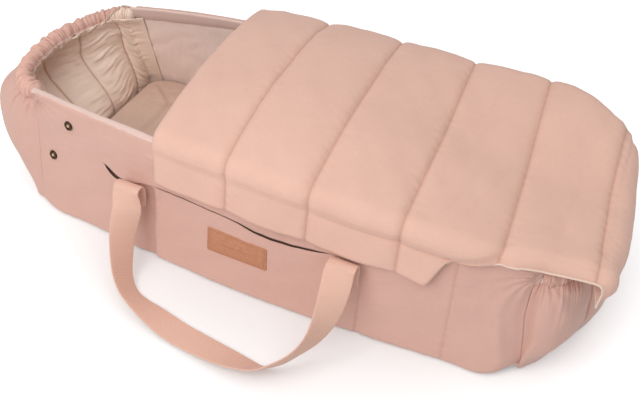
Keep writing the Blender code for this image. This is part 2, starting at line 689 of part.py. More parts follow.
def quilt_foot_grid():
    """Underside of the foot of the quilt, from the fold line out and down over the foot end."""
    run = np.concatenate([np.linspace(0.0, 1.0, 7), (1.5, 2.0, 2.5, 3.0)])[:, None]
    station = across_stations()
    middle, skew = quilt_mid(QUILT_CHANNELS)
    middle = middle + QUILT_HINGE_GAP
    stand_off = END_OUTER_CROWN + QUILT_CLEARANCE
    tip = CORNER_X + FOOT_RIM_DEPTH + stand_off
    span = quilt_span(middle, skew, station)
    side_out, side_below = folded_run(np.abs(station), span, QUILT_EDGE_DROP)
    lean = (BASE_HALF_WIDTH - RIM_HALF_WIDTH) / rim_height(0.0)
    hung = np.maximum(side_below - QUILT_FOLD_RADIUS, 0.0)
    y_start = np.sign(station) * (side_out + hung * lean)
    x_start = middle + skew * y_start
    reach = side_out + hung
    spread = reach / np.where(station < 0, reach[:, :1], reach[:, -1:])
    turn = np.sign(station) * spread * math.pi / 2
    drop = QUILT_EDGE_DROP + (QUILT_FOOT_DROP - QUILT_EDGE_DROP) * np.cos(turn)
    out, below = folded_run(run, tip - middle, drop)
    forward = out / (tip - middle)
    rise_share = np.minimum(1 - below / FOOT_RIM_HEIGHT, 1.0)
    edge = end_arc(FOOT, np.sign(station) * spread, rise_share, -stand_off)
    x_end = edge[:, :, 0]
    y_end = edge[:, :, 1] + QUILT_FAR_OVERHANG * (station > 0) * np.sin(turn)
    x = x_start + (x_end - x_start) * forward
    y = y_start + (y_end - y_start) * forward
    fall = below + side_below * (1 - forward)
    rise = quilt_rise(middle) * (1 - (side_out / span) ** 2) * (1 - forward)
    z = rim_height(x) + QUILT_SEAT_GAP + rise + far_lift(middle, station, side_out / span) - fall
    place = QUILT_CHANNELS + 2 * np.minimum(run, 2.0) / 2
    return np.stack(np.broadcast_arrays(x, y, z), axis=2), place, station


def thicken(grid, thickness):
    """Second grid, set off along the surface's own direction by a thickness at each point."""
    along = np.gradient(grid, axis=0)
    across = np.gradient(grid, axis=1)
    outward = np.cross(along, across)
    outward /= np.linalg.norm(outward, axis=2)[:, :, None]
    outward *= np.sign(outward[0, outward.shape[1] // 2, 2])
    return grid + outward * thickness[:, :, None]


def channel_thickness(place, station):
    """Thickness of the filling: full in a channel, thin at its seams and at the side hems."""
    swell = np.abs(np.sin(math.pi * place)) ** 0.55
    hem = np.clip(3 - np.abs(station), 0.0, 1.0) ** 0.5
    full = QUILT_SEAM_THICKNESS + (QUILT_THICKNESS - QUILT_SEAM_THICKNESS) * swell * hem
    return np.broadcast_to(full, np.broadcast_shapes(place.shape, station.shape))


def build_quilt(cloth):
    """Front of the quilt, which folds back, and the foot of it, which stays on the foot end."""
    for name, grid in (("quilt_front", quilt_front_grid), ("quilt_foot", quilt_foot_grid)):
        under, place, station = grid()
        over = thicken(under, channel_thickness(place, station))
        sheet_solid(name, over, under, cloth)


def main():
    clear_scene()
    looks = {"pink": finish("dusty_pink_cotton", PINK, 0.85),
             "pale": finish("pale_lining", PALE_PINK, 0.85),
             "board": finish("grey_board", BOARD_GREY, 0.9),
             "brass": finish("antique_brass", DARK_BRASS, 0.35, 1.0),
             "guide": finish("guide", WHITE, 1.0)}
    liner = finish("beige_satin", LINER_BEIGE, 0.6)
    webbing = finish("pink_webbing", PINK, 0.8)
    build_base(looks["pink"], looks["board"], finish("white_foam", WHITE, 0.9), liner)
    for prefix, side in (("near", NEAR), ("far", FAR)):
        build_side(prefix, side, looks)
        handle_loop(prefix + "_handle", side, webbing)
        for place, along in (("head", HEAD), ("foot", FOOT)):
            middle_x = HANDLE_MIDDLE_X + along * HANDLE_SPACING / 2
            strap_end(prefix + "_" + place + "_strap_end", side, middle_x, webbing)
    side_sheet("leather_label", NEAR,
               (LABEL_MIDDLE_X - LABEL_LENGTH / 2, LABEL_MIDDLE_X + LABEL_LENGTH / 2),
               LABEL_BOTTOM, LABEL_BOTTOM + LABEL_HEIGHT,
               -(FABRIC + 2 * SEAT_GAP + LABEL_THICKNESS), LABEL_THICKNESS, (6, 3),
               finish("tan_leather", LEATHER_TAN, 0.5))
    for prefix, end in (("head", HEAD), ("foot", FOOT)):
        half = (WALL - SEAT_GAP) / 2
        end_panel(prefix + "_end_panel", end, 0.0, half, END_OUTER_CROWN, looks["pink"])
        end_panel(prefix + "_end_lining", end, half + SEAT_GAP, half, -END_LINING_CROWN, liner)
        elastic_casing(prefix, end, looks["pink"], looks["guide"])
    build_quilt(finish("quilt_cotton", QUILT_PINK, 0.85))


main()
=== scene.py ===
# %% [markdown]
# A soft carrycot. The CAD model is a fixed frame: it says where every piece of the carrycot is.
# This notebook sews the visible cloth over it: the walls, the padded ends with their gathered
# rims, the mattress, the channelled quilt and the webbing handles. Lengths are in metres, +X is
# the foot end, -Y is the near side with the leather label, and +Z is up.

# %% The frame
import math

import bpy
import numpy as np
from mathutils import Matrix


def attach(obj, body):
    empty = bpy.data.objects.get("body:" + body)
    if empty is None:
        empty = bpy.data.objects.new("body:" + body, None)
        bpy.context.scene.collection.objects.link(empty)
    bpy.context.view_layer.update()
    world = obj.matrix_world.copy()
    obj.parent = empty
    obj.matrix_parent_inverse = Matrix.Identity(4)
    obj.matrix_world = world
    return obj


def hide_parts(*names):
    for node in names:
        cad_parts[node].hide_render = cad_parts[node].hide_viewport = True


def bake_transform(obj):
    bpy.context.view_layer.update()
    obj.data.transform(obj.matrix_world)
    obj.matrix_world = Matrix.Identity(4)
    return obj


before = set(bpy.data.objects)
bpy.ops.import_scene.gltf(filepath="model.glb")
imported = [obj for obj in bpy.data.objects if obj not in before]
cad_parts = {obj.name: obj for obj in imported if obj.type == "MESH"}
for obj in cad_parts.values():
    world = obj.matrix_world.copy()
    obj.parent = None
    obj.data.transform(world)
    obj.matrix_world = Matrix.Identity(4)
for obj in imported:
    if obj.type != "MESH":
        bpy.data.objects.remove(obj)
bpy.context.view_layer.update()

# %% [markdown]
# The picture was taken from above the near side, a little towards the foot. A camera could be
# turned by hand until it fits. Here five numbers place it: how far away it is, its height angle,
# its turn, its tilt and its focal length, because numbers can be mended one at a time. The focal
# length is in pixels of a picture 640 wide, and Blender wants it in millimetres.

# %% Camera
PICTURE_WIDTH, FOCAL_PIXELS, SENSOR_WIDTH = 640, 920, 36
CAMERA_DISTANCE = 1.095
CAMERA_TARGET = np.array([0.0462, -0.0695, 0.1])
PITCH_DEGREES, TURN_DEGREES, TILT_DEGREES = 42.5, 24.3, 2.1


def unit(directions):
    """Directions made 1 long: each is divided by the root of the sum of its squares."""
    return directions / np.maximum(np.linalg.norm(directions, axis=-1, keepdims=True), 1e-12)


def stood(right, up, back, place):
    """Matrix of a thing that stands at a place: three directions and the place are its columns."""
    return Matrix(np.vstack([np.array([right, up, back, place]).T, [0, 0, 0, 1]]).tolist())


pitch, turn, tilt = np.radians([PITCH_DEGREES, TURN_DEGREES, TILT_DEGREES])
back = np.array([np.sin(turn) * np.cos(pitch), -np.cos(turn) * np.cos(pitch), np.sin(pitch)])
level_right = unit(np.cross(-back, [0, 0, 1]))
level_up = np.cross(level_right, -back)
camera_right = np.cos(tilt) * level_right + np.sin(tilt) * level_up
camera_up = -np.sin(tilt) * level_right + np.cos(tilt) * level_up

scene = bpy.context.scene
lens = bpy.data.cameras.new("picture_camera")
lens.sensor_width = SENSOR_WIDTH
lens.lens = FOCAL_PIXELS / PICTURE_WIDTH * SENSOR_WIDTH
camera = bpy.data.objects.new("picture_camera", lens)
camera.matrix_world = stood(camera_right, camera_up, back, CAMERA_TARGET + back * CAMERA_DISTANCE)
scene.collection.objects.link(camera)
scene.camera = camera
print("focal length", lens.lens, "mm")

# %% [markdown]
# A material is a small net of nodes. Each node has inputs, which hold a number or a colour or
# are joined to another node. Written out, that takes a line for each input, so three helpers
# fill in a node, add one, and work out one sum.

# %% Nodes of a material
def new_material(name):
    """A material with its nodes switched on, and its tree of nodes."""
    material = bpy.data.materials.new(name)
    material.use_nodes = True
    return material, material.node_tree


def fill(tree, node, *in_order, **by_name):
    """Give a node's inputs numbers or colours, or join them to the outputs of other nodes."""
    sockets = list(zip(node.inputs, in_order))
    sockets += [(node.inputs[name.replace("_", " ")], value) for name, value in by_name.items()]
    for socket, value in sockets:
        if isinstance(value, bpy.types.NodeSocket):
            tree.links.new(value, socket)
        else:
            socket.default_value = value
    return node


def add(tree, kind, *in_order, **by_name):
    """A new node of one kind, filled in."""
    return fill(tree, tree.nodes.new("ShaderNode" + kind), *in_order, **by_name)


def calc(tree, operation, a, b, clamp=False):
    """The output of one sum of two numbers; clamp keeps it from 0 to 1."""
    step = add(tree, "Math", a, b)
    step.operation = operation
    step.use_clamp = clamp
    return step.outputs[0]


# %% [markdown]
# The studio is a sheet of white paper under a bright even sky. One soft lamp stands in front of
# the near side, and a wide soft light comes from above, so that the shadow stays faint. Seen by
# the camera, in a mirror or through glass, the paper also glows a little, more so away from the
# cot: it reads as white and keeps its shadow, and the cloth gets no more light from it.

# %% Floor, lamps and sky
FLOOR_HALF, FLOOR_DROP = 7.0, 0.0006
PAPER_WHITE, SKY_LIGHT = 0.80, 0.44
GLOW_COLOUR = (0.97, 0.985, 1, 1)
GLOW_FADE = {"From Min": 0.20, "From Max": 0.56, "To Min": 0.10, "To Max": 0.55}
LAMP_PLACE, LAMP_AIM, LAMP_SIZE, LAMP_POWER = (-0.22, -1.15, 1.10), (-0.04, 0, 0.1), 1.1, 12
HIGH_LIGHT, HIGH_LIGHT_SPREAD, HIGH_LIGHT_LEAN = 0.84, math.radians(60), math.radians(8)
scene.view_settings.view_transform = "Standard"

floor_mesh = bpy.data.meshes.new("studio_floor")
corners = [(x * FLOOR_HALF, y * FLOOR_HALF, -FLOOR_DROP) for x, y in ((-1, -1), (1, -1), (1, 1), (-1, 1))]
floor_mesh.from_pydata(corners, [], [(0, 1, 2, 3)])
floor = bpy.data.objects.new("studio_floor", floor_mesh)
scene.collection.objects.link(floor)

paper, tree = new_material("white_paper")
tree.nodes.clear()
away = add(tree, "VectorMath", add(tree, "TexCoord").outputs["Object"])
away.operation = "LENGTH"
fade = add(tree, "MapRange", Value=away.outputs["Value"], **GLOW_FADE)
fade.interpolation_type = "SMOOTHSTEP"
matt = add(tree, "BsdfDiffuse", Color=(PAPER_WHITE, PAPER_WHITE, PAPER_WHITE, 1))
glow = add(tree, "Emission", Color=GLOW_COLOUR, Strength=fade.outputs["Result"])
both = add(tree, "AddShader", matt.outputs[0], glow.outputs[0])
seen = add(tree, "LightPath").outputs
mirrored = calc(tree, "MAXIMUM", seen["Is Glossy Ray"], seen["Is Transmission Ray"])
shown = calc(tree, "MAXIMUM", seen["Is Camera Ray"], mirrored)
add(tree, "OutputMaterial", add(tree, "MixShader", shown, matt.outputs[0], both.outputs[0]).outputs[0])
floor_mesh.materials.append(paper)

sky = bpy.data.worlds.new("studio_sky")
sky.use_nodes = True
fill(sky.node_tree, sky.node_tree.nodes["Background"], Color=(1, 1, 1, 1), Strength=SKY_LIGHT)
scene.world = sky

lamp_data = bpy.data.lights.new("front_softbox", "AREA")
lamp_data.size = LAMP_SIZE
lamp_data.energy = LAMP_POWER
lamp = bpy.data.objects.new("front_softbox", lamp_data)
back = unit(np.subtract(LAMP_PLACE, LAMP_AIM))
side = unit(np.cross([0, 0, 1], back))
lamp.matrix_world = stood(side, np.cross(back, side), back, LAMP_PLACE)
scene.collection.objects.link(lamp)

sun = bpy.data.lights.new("high_soft_light", "SUN")
sun.energy = HIGH_LIGHT
sun.angle = HIGH_LIGHT_SPREAD
high_light = bpy.data.objects.new("high_soft_light", sun)
high_light.rotation_euler = (0, HIGH_LIGHT_LEAN, 0)
scene.collection.objects.link(high_light)
print("lights", [light.name for light in bpy.data.lights])

# %% [markdown]
# Every shape below is a sum of a few plain curves: a bell, a smooth step, a curve through points
# and seeded ripples. Cloth could also be pushed into shape with a cloth simulation. Curves were
# chosen because they give the same folds each time, where the picture has them.

# %% Plain curves
def bump(distance, width):
    """A bell curve, 1 at no distance and near 0 beyond twice the width."""
    return np.exp(-(np.asarray(distance) / width) ** 2)


def ease(value, low, high):
    """0 below low, 1 above high, with a smooth S between them."""
    t = np.clip((np.asarray(value) - low) / (high - low), 0.0, 1.0)
    return t * t * (3 - 2 * t)


def curve_through(x, xs, ys):
    """Smooth curve through points: on each stretch a cubic whose slopes come from its neighbours."""
    xs, ys = np.asarray(xs, float), np.asarray(ys, float)
    slopes = np.gradient(ys, xs)
    x = np.clip(x, xs[0], xs[-1])
    k = np.clip(np.searchsorted(xs, x, side="right") - 1, 0, len(xs) - 2)
    gap = xs[k + 1] - xs[k]
    t = (x - xs[k]) / gap
    return ((2 * t ** 3 - 3 * t ** 2 + 1) * ys[k] + (t ** 3 - 2 * t ** 2 + t) * gap * slopes[k]
            + (3 * t ** 2 - 2 * t ** 3) * ys[k + 1] + (t ** 3 - t ** 2) * gap * slopes[k + 1])


def ripples(a, b, long_a, long_b, seed, waves=14):
    """Soft irregular waves: the sum of cosines with seeded directions and phases, about -1 to 1.
    long_a and long_b are the usual wave lengths along the two directions."""
    picks = np.random.default_rng(seed)
    total = 0.0
    for _ in range(waves):
        fa, fb = picks.normal(0, 1 / long_a), picks.normal(0, 1 / long_b)
        total = total + np.cos(2 * math.pi * (fa * a + fb * b) + picks.uniform(0, 2 * math.pi))
    return total / math.sqrt(waves)


def near_floor(z, fade):
    """1 at the floor, falling off upwards as an exponential."""
    return np.exp(-np.maximum(z, 0.0) / fade)


print("a smooth step at its quarters", [round(float(ease(v, 0, 1)), 3) for v in (0.25, 0.5, 0.75)])

# %% [markdown]
# Every piece of cloth follows the shell: how wide a long side is at a place and a height, and
# how high its rim is. These are the curves of the CAD model, written again here because this
# file reads nothing but the frame. The lowest corners are drawn in and lifted, as soft cloth is.

# %% The long sides
CORNER_X = 0.325
RIM_HALF_WIDTH, RIM_BOW = 0.111, 0.031
BASE_HALF_WIDTH, BASE_BOW = 0.140, 0.027
HEAD_RIM_HEIGHT, FOOT_RIM_HEIGHT, RIM_RISE = 0.165, 0.150, 0.020
CORNER_TUCK, MORE_TUCK_AT_FOOT = 0.003, 0.010
FOOT_BULGE, FOOT_BULGE_X = 0.0060, 0.283
HEAD_BULGE, HEAD_BULGE_X = 0.0065, -0.300
WALL = 0.0098
HEM_ROLL = 0.007


def rim_height(x):
    """Middle height, plus a slope from head to foot, plus a rise that is a parabola along x."""
    along = np.clip(np.asarray(x) / CORNER_X, -1.0, 1.0)
    middle, slope = (HEAD_RIM_HEIGHT + FOOT_RIM_HEIGHT) / 2, (FOOT_RIM_HEIGHT - HEAD_RIM_HEIGHT) / 2
    return middle + slope * along + RIM_RISE * (1 - along ** 2)


def corner_rounding(z, at_foot):
    """How far the lowest corners are drawn in, most at the floor and at the foot."""
    return (CORNER_TUCK + MORE_TUCK_AT_FOOT * at_foot) * near_floor(z, 0.030)


def corner_lift(away, z, at_foot):
    """How far the hem stands off the floor at a corner; away is the distance from the corner."""
    return (CORNER_TUCK + MORE_TUCK_AT_FOOT * at_foot) * bump(away, 0.026) * near_floor(z, 0.020)


def half_width(x, z):
    """Base width and rim width, each a parabola along x, mixed by height. The low corners are
    drawn in, and the wall stands out a little just before each of them."""
    x, z = np.asarray(x, float), np.asarray(z, float)
    bow = 1 - np.clip(x / CORNER_X, -1.0, 1.0) ** 2
    base, rim = BASE_HALF_WIDTH + BASE_BOW * bow, RIM_HALF_WIDTH + RIM_BOW * bow
    full = base + (rim - base) * z / rim_height(x)
    low_bulge = FOOT_BULGE * bump(x - FOOT_BULGE_X, 0.030) * near_floor(z, 0.045)
    low_bulge = low_bulge * (1 - ease(x, 0.298, CORNER_X))
    low_bulge = low_bulge + HEAD_BULGE * bump(x - HEAD_BULGE_X, 0.035) * near_floor(z, 0.035)
    return full + low_bulge - corner_rounding(z, x > 0) * bump(CORNER_X - np.abs(x), 0.016)


print("rim at head, middle and foot", [round(float(rim_height(x)), 4) for x in (-CORNER_X, 0, CORNER_X)])

# %% [markdown]
# A rounded end is a surface of two numbers: how far across it, and how far up. In plan it reaches
# out as a cosine and leans to one side as a sine of twice the angle, which no circle or ellipse
# would do. Each end has its own reach, lean and fullness at the floor and at the rim, and its
# own bulge between them.

# %% The rounded ends
END_SIGN = {"head": -1, "foot": 1}
END_HEIGHT = {"head": HEAD_RIM_HEIGHT, "foot": FOOT_RIM_HEIGHT}
END_REACH = {"head": (0.041, 0.062), "foot": (0.058, 0.040)}
END_LEAN = {"head": (0.05, 0.27), "foot": (-0.30, -0.08)}
END_FULLNESS = {"head": (1.0, 0.8), "foot": (1.5, 0.8)}
END_BULGE = {"head": 0.031, "foot": 0.011}
END_CORNER_WIDTH = {"head": 0.11, "foot": 0.30}
RIM_UPRIGHT = {"head": 0.85, "foot": 0.0}
HEAD_FLOOR_BULGE = 0.0032
FOOT_SEAM_Z = (0.0, 0.020, 0.030, 0.058, 0.085, 0.104, 0.130, 0.138, 0.148, 0.160)
FOOT_SEAM_BOW = (0.0, 0.0004, 0.0018, 0.0055, 0.0095, 0.0100, 0.0080, 0.0045, 0.0005, 0.0)


def foot_seam_shift(z):
    """The corner seam at the foot bows towards the head at mid height."""
    return -curve_through(z, FOOT_SEAM_Z, FOOT_SEAM_BOW)


def end_point(end, across, rise, depth):
    """A rounded end in plan, from the near corner (across -1) to the far corner (across 1). It
    reaches out as a cosine, made fuller or leaner by a power, leans to one side as a sine of
    twice the angle, and bulges at mid height. depth lies inside the outer cloth."""
    sign, height, at_foot = END_SIGN[end], END_HEIGHT[end], end == "foot"
    (base_reach, rim_reach), (base_lean, rim_lean) = END_REACH[end], END_LEAN[end]
    base_full, rim_full = END_FULLNESS[end]
    angle = np.asarray(across) * math.pi / 2
    rise = np.asarray(rise)
    held = np.clip(rise, 0.0, 1.0)
    above_base = ease(held, 0.0, 0.42)
    reach = base_reach + (rim_reach - base_reach) * held + END_BULGE[end] * np.sin(math.pi * held ** 1.25)
    width = BASE_HALF_WIDTH + (RIM_HALF_WIDTH - BASE_HALF_WIDTH) * held
    floor_bulge = HEAD_FLOOR_BULGE * near_floor(rise * height, 0.035) * (not at_foot)
    drawn_in = corner_rounding(rise * height, at_foot) - floor_bulge
    depth = depth + drawn_in * bump(1 - np.abs(across), END_CORNER_WIDTH[end])
    rim_lean = rim_lean * (1 - RIM_UPRIGHT[end] * ease(held, 0.72, 0.95))
    base_lean = base_lean * (1 - ease(across, -0.1, 0.5) * at_foot)
    lean = base_lean + (rim_lean - base_lean) * above_base
    fullness = base_full + (rim_full - base_full) * above_base
    out = (reach - depth) * np.clip(np.cos(angle), 0, 1) ** fullness - lean * reach * np.sin(2 * angle)
    y = (width - depth) * np.sin(angle)
    shift = foot_seam_shift(rise * height) if at_foot else 0.0
    x = sign * (CORNER_X + out) + shift * (1 - ease(1 - np.abs(across), 0.0, 0.3))
    return np.stack(np.broadcast_arrays(x, y, rise * height), axis=-1)


print("ends reach", {end: round(float(end_point(end, 0.0, 0.5, 0.0)[0]), 4) for end in END_SIGN})

# %% [markdown]
# A surface is worked out as a grid of points, rows by columns. Each square of the grid becomes a
# face. The lengths along the rows and columns are kept as the UV map, in metres, so that a weave
# has the same size everywhere. A number at each point lets the material darken along seams and
# stitching, and it also carries painted shade in creases, gather valleys and hollows.

# %% From a grid of points to cloth
def faces_of_grid(rows, columns, wrap):
    """Corner numbers of each square, row by row; wrap joins the last column to the first."""
    index = np.arange(rows * columns).reshape(rows, columns)
    here = index if wrap else index[:, :-1]
    there = np.roll(index, -1, axis=1) if wrap else index[:, 1:]
    return np.stack([here[:-1], there[:-1], there[1:], here[1:]], axis=-1).reshape(-1, 4)


def lengths_along(grid, axis):
    """Distance walked along one direction of the grid, from its first point."""
    steps = np.linalg.norm(np.diff(grid, axis=axis), axis=2)
    start = np.zeros_like(np.take(steps, [0], axis=axis))
    return np.concatenate([start, np.cumsum(steps, axis=axis)], axis=axis)


def cloth_map(grid):
    """UV pair of each point of a grid: its lengths along the row and along the column."""
    return np.stack([lengths_along(grid, 1), lengths_along(grid, 0)], axis=-1).reshape(-1, 2)


def grid_normals(grid):
    """Unit directions square to the surface, from the cross product of its two slopes."""
    return unit(np.cross(np.gradient(grid, axis=1), np.gradient(grid, axis=0)))


def facing(points, faces):
    """Sum of the directions that the faces look in, each as long as its parallelogram's area."""
    a, b, c = (points[faces[:, k]] for k in (0, 1, 3))
    return np.cross(b - a, c - a).sum(axis=0)


def make_mesh(name, points, faces, uv, seams_and_shade, material):
    """Mesh object from arrays: points, four-cornered faces, a UV pair and a number per point."""
    mesh = bpy.data.meshes.new(name)
    mesh.vertices.add(len(points))
    mesh.vertices.foreach_set("co", np.asarray(points, np.float32).ravel())
    faces = np.asarray(faces, np.int32)
    mesh.loops.add(faces.size)
    mesh.loops.foreach_set("vertex_index", faces.ravel())
    mesh.polygons.add(len(faces))
    mesh.polygons.foreach_set("loop_start", np.arange(0, faces.size, faces.shape[1], dtype=np.int32))
    mesh.update(calc_edges=True)
    mesh.uv_layers.new(name="cloth").data.foreach_set("uv", np.asarray(uv, np.float32)[faces.ravel()].ravel())
    layer = mesh.attributes.new("seams_and_shade", "FLOAT", "POINT")
    layer.data.foreach_set("value", np.broadcast_to(seams_and_shade, len(points)).astype(np.float32).ravel())
    mesh.shade_smooth()
    mesh.materials.append(material)
    piece = bpy.data.objects.new(name, mesh)
    scene.collection.objects.link(piece)
    return piece


def thicken(piece, thickness):
    """A second skin inside the first: each point is moved back along its direction."""
    skin = piece.modifiers.new("thickness", "SOLIDIFY")
    skin.thickness, skin.offset, skin.use_even_offset = thickness, -1.0, False


def cloth_grid(name, grid, material, outward=None, seams_and_shade=0.0, wrap=False, thickness=0.0):
    """A sheet over a grid. outward is a direction that its middle faces; thickness grows inwards."""
    rows, columns = grid.shape[:2]
    points, faces = grid.reshape(-1, 3), faces_of_grid(rows, columns, wrap)
    if outward is not None and facing(points, faces) @ np.asarray(outward, float) < 0:
        faces = faces[:, ::-1]
    seams_and_shade = np.broadcast_to(seams_and_shade, (rows, columns)).ravel()
    piece = make_mesh(name, points, faces, cloth_map(grid), seams_and_shade, material)
    if thickness:
        thicken(piece, thickness)
    return piece


def dress(piece, slot, *nodes):
    """The piece stands for CAD nodes, which it hides, and rides on the cot. The slot is not used."""
    if nodes:
        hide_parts(*nodes)
    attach(piece, "cot")


print("a grid of 3 rows and 4 columns has", len(faces_of_grid(3, 4, False)), "faces")

# %% [markdown]
# A seam shows as a row of stitches. A line of thread could be a painted texture, but close up
# each stitch stands out of the cloth and throws a shadow. Here a stitch is a short fat line: its
# radius is that of the thread at the middle and nothing at its two ends.

# %% Stitches
STITCH_SIDES, STITCH_RINGS = 6, 5


def walked(path):
    """Distance walked along a path of points, from its first point."""
    return np.r_[0, np.cumsum(np.linalg.norm(np.diff(path, axis=0), axis=1))]


def at_distances(values, steps, places):
    """Rows of three numbers that belong to a path, read off at distances along it."""
    return np.stack([np.interp(places, steps, values[:, k]) for k in range(3)], axis=1)


def thread(name, paths, material, pitch, length, radius):
    """Rows of stitches, one every pitch. Each path is (points, directions out of the cloth)."""
    along = np.linspace(-1, 1, STITCH_RINGS)
    swell = np.sqrt(np.clip(1 - along ** 4, 0.02, 1))
    angles = np.linspace(0, 2 * math.pi, STITCH_SIDES, endpoint=False)
    single = faces_of_grid(STITCH_RINGS, STITCH_SIDES, True)
    points, faces = [], []
    for path, normals in paths:
        steps = walked(path)
        centres = np.arange(pitch / 2, steps[-1], pitch)
        middle = at_distances(path, steps, centres)
        forward = unit(at_distances(path, steps, centres + length / 2) - middle)
        across = unit(np.cross(forward, at_distances(normals, steps, centres)))
        up = np.cross(across, forward)
        ring = np.cos(angles)[:, None, None] * across + np.sin(angles)[:, None, None] * up
        tube = (middle[None, None] + forward[None, None] * (along * length / 2)[:, None, None, None]
                + ring[None] * (radius * swell)[:, None, None, None])
        first = sum(len(block) for block in points) + np.arange(len(centres)) * len(along) * len(angles)
        faces.append((single[None] + first[:, None, None]).reshape(-1, 4))
        points.append(tube.transpose(2, 0, 1, 3).reshape(-1, 3))
    points = np.concatenate(points)
    return make_mesh(name, points, np.concatenate(faces), points[:, :2], 0.0, material)


print("faces of one stitch", (STITCH_RINGS - 1) * STITCH_SIDES)

# %% [markdown]
# All the cloth is woven, so one recipe makes it: two crossed waves for the threads, long thin
# noise for the slubs in the yarn, and slow noise for uneven dye. A photograph of cloth would do
# too, but a recipe has no edges and no fixed size. The sizes are in metres on the UV map. What
# differs from cloth to cloth is the colour, the thread and the sheen.

# %% Cloth
SLUB_SCALE, CROSS_SCALE = 900, 60
DYE_SCALE, DYE_SHARE, SHADE_SHARE = 14.0, 0.35, 0.12
SATIN = {"thread_size": 0.0005, "bump_height": 0.15, "roughness": 0.5, "sheen": 0.2}


def woven(name, colour, shade, thread_size=0.0007, bump_height=0.25, roughness=0.85, sheen=0.25,
          slub=0.05, twill=False):
    """Principled cloth: colour mixed towards shade by slubs, dye and the per-point number of dark
    seams and painted shade. The relief is the product of the two waves plus the slubs."""
    material, tree = new_material(name)
    where = add(tree, "UVMap")
    where.uv_map = "cloth"
    place = add(tree, "TexCoord").outputs["Object"]
    threads = []
    for direction in ("DIAGONAL" if twill else "X", "Y"):
        wave = add(tree, "TexWave", where.outputs[0], Scale=1 / thread_size / 20 * math.pi,
                   Distortion=0.6, Detail=1.0)
        wave.bands_direction = direction
        threads.append(wave.outputs["Fac"])
    yarns = []
    for scale in ((SLUB_SCALE, CROSS_SCALE, 1), (CROSS_SCALE, SLUB_SCALE, 1)):
        stretched = add(tree, "Mapping", where.outputs[0], Scale=scale)
        noise = add(tree, "TexNoise", stretched.outputs[0], Scale=1.0, Detail=2.0, Roughness=0.5)
        yarns.append(noise.outputs["Fac"])
    slubs = calc(tree, "ADD", *yarns)
    dye = add(tree, "TexNoise", place, Scale=DYE_SCALE, Detail=3.0, Roughness=0.55).outputs["Fac"]
    # the per-point number: dark seams, and painted shade in creases, valleys and hollows
    seams_and_shade = add(tree, "Attribute")
    seams_and_shade.attribute_name = "seams_and_shade"
    mixed = calc(tree, "MULTIPLY", calc(tree, "SUBTRACT", slubs, 1.0), slub * 6)
    mixed = calc(tree, "ADD", mixed, calc(tree, "MULTIPLY", calc(tree, "SUBTRACT", dye, 0.5), DYE_SHARE))
    mixed = calc(tree, "ADD", calc(tree, "ADD", mixed, SHADE_SHARE), seams_and_shade.outputs["Fac"], clamp=True)
    blend = add(tree, "Mix")
    blend.data_type = "RGBA"
    fill(tree, blend, A=(*colour, 1), B=(*shade, 1), Factor=mixed)
    weave = calc(tree, "MULTIPLY", *threads)
    height = calc(tree, "ADD", calc(tree, "MULTIPLY", weave, 0.6), calc(tree, "MULTIPLY", slubs, 0.5))
    relief = add(tree, "Bump", Strength=bump_height, Distance=thread_size, Height=height)
    fill(tree, tree.nodes["Principled BSDF"], Base_Color=blend.outputs["Result"], Normal=relief.outputs[0],
         Roughness=roughness, Sheen_Weight=sheen, Sheen_Roughness=0.5, Specular_IOR_Level=0.25)
    return material


wall_cotton = woven("dusty_pink_cotton", (0.679, 0.418, 0.347), (0.55, 0.305, 0.245))
quilt_cotton = woven("quilt_sateen", (0.775, 0.490, 0.395), (0.56, 0.31, 0.235), slub=0.04, sheen=0.2)
# the ruffle is the walls' dusty pink, written lighter: painted light on the gathered rim
ruffle_cotton_painted_light = woven("ruffle_cotton_painted_light", (0.770, 0.470, 0.385), (0.50, 0.28, 0.23))
pale_cotton = woven("pale_rim_cotton", (0.74, 0.54, 0.48), (0.70, 0.49, 0.42))
# the inner wall and the liner have their own pale colours, written lighter still: painted light for the deep
# inside of the cot
inner_cotton_painted_light = woven("inner_wall_cotton_painted_light", (0.93, 0.75, 0.67), (0.80, 0.60, 0.53))
liner_satin_painted_light = woven("beige_liner_satin_painted_light", (0.94, 0.76, 0.64), (0.58, 0.37, 0.27), **SATIN)
mattress_satin = woven("beige_mattress_satin", (0.65, 0.46, 0.37), (0.52, 0.31, 0.22), **SATIN)
webbing = woven("handle_webbing", (0.744, 0.470, 0.372), (0.64, 0.375, 0.285), thread_size=0.0010,
                bump_height=0.5, roughness=0.8, sheen=0.15, twill=True)
binding_cotton = woven("quilt_binding", (0.80, 0.62, 0.52), (0.62, 0.44, 0.36))
# nearly black: painted shadow for the inside of the slit
shadow_painted_cotton = woven("pocket_cotton_painted_shadow", (0.16, 0.08, 0.06), (0.10, 0.05, 0.038))
cream_cotton = woven("cream_trim", (0.76, 0.54, 0.46), (0.60, 0.38, 0.31))
print("satin threads are", SATIN["thread_size"], "apart")

# %% [markdown]
# Thread, leather, brass and board have no weave. One fine noise gives each of them its grain: it
# moves the colour a little between dark and light and raises the surface by a fraction of a
# millimetre. That is enough at the size at which these pieces are seen.

# %% Thread, leather and brass
def plain(name, colour, roughness, metallic=0.0, speckle=0.0, scale=300.0, relief_height=0.0002):
    """Principled finish whose colour and height follow one noise."""
    material, tree = new_material(name)
    place = add(tree, "TexCoord").outputs["Object"]
    grain = add(tree, "TexNoise", place, Scale=scale, Detail=4.0).outputs["Fac"]
    ramp = add(tree, "ValToRGB", grain)
    for stop, position, share in zip(ramp.color_ramp.elements, (0.3, 0.7), (1 - speckle, 1 + speckle)):
        stop.position = position
        stop.color = (*(min(1.0, c * share) for c in colour), 1)
    relief = add(tree, "Bump", Strength=0.4, Distance=relief_height, Height=grain)
    fill(tree, tree.nodes["Principled BSDF"], Base_Color=ramp.outputs["Color"], Normal=relief.outputs[0],
         Roughness=roughness, Metallic=metallic)
    return material


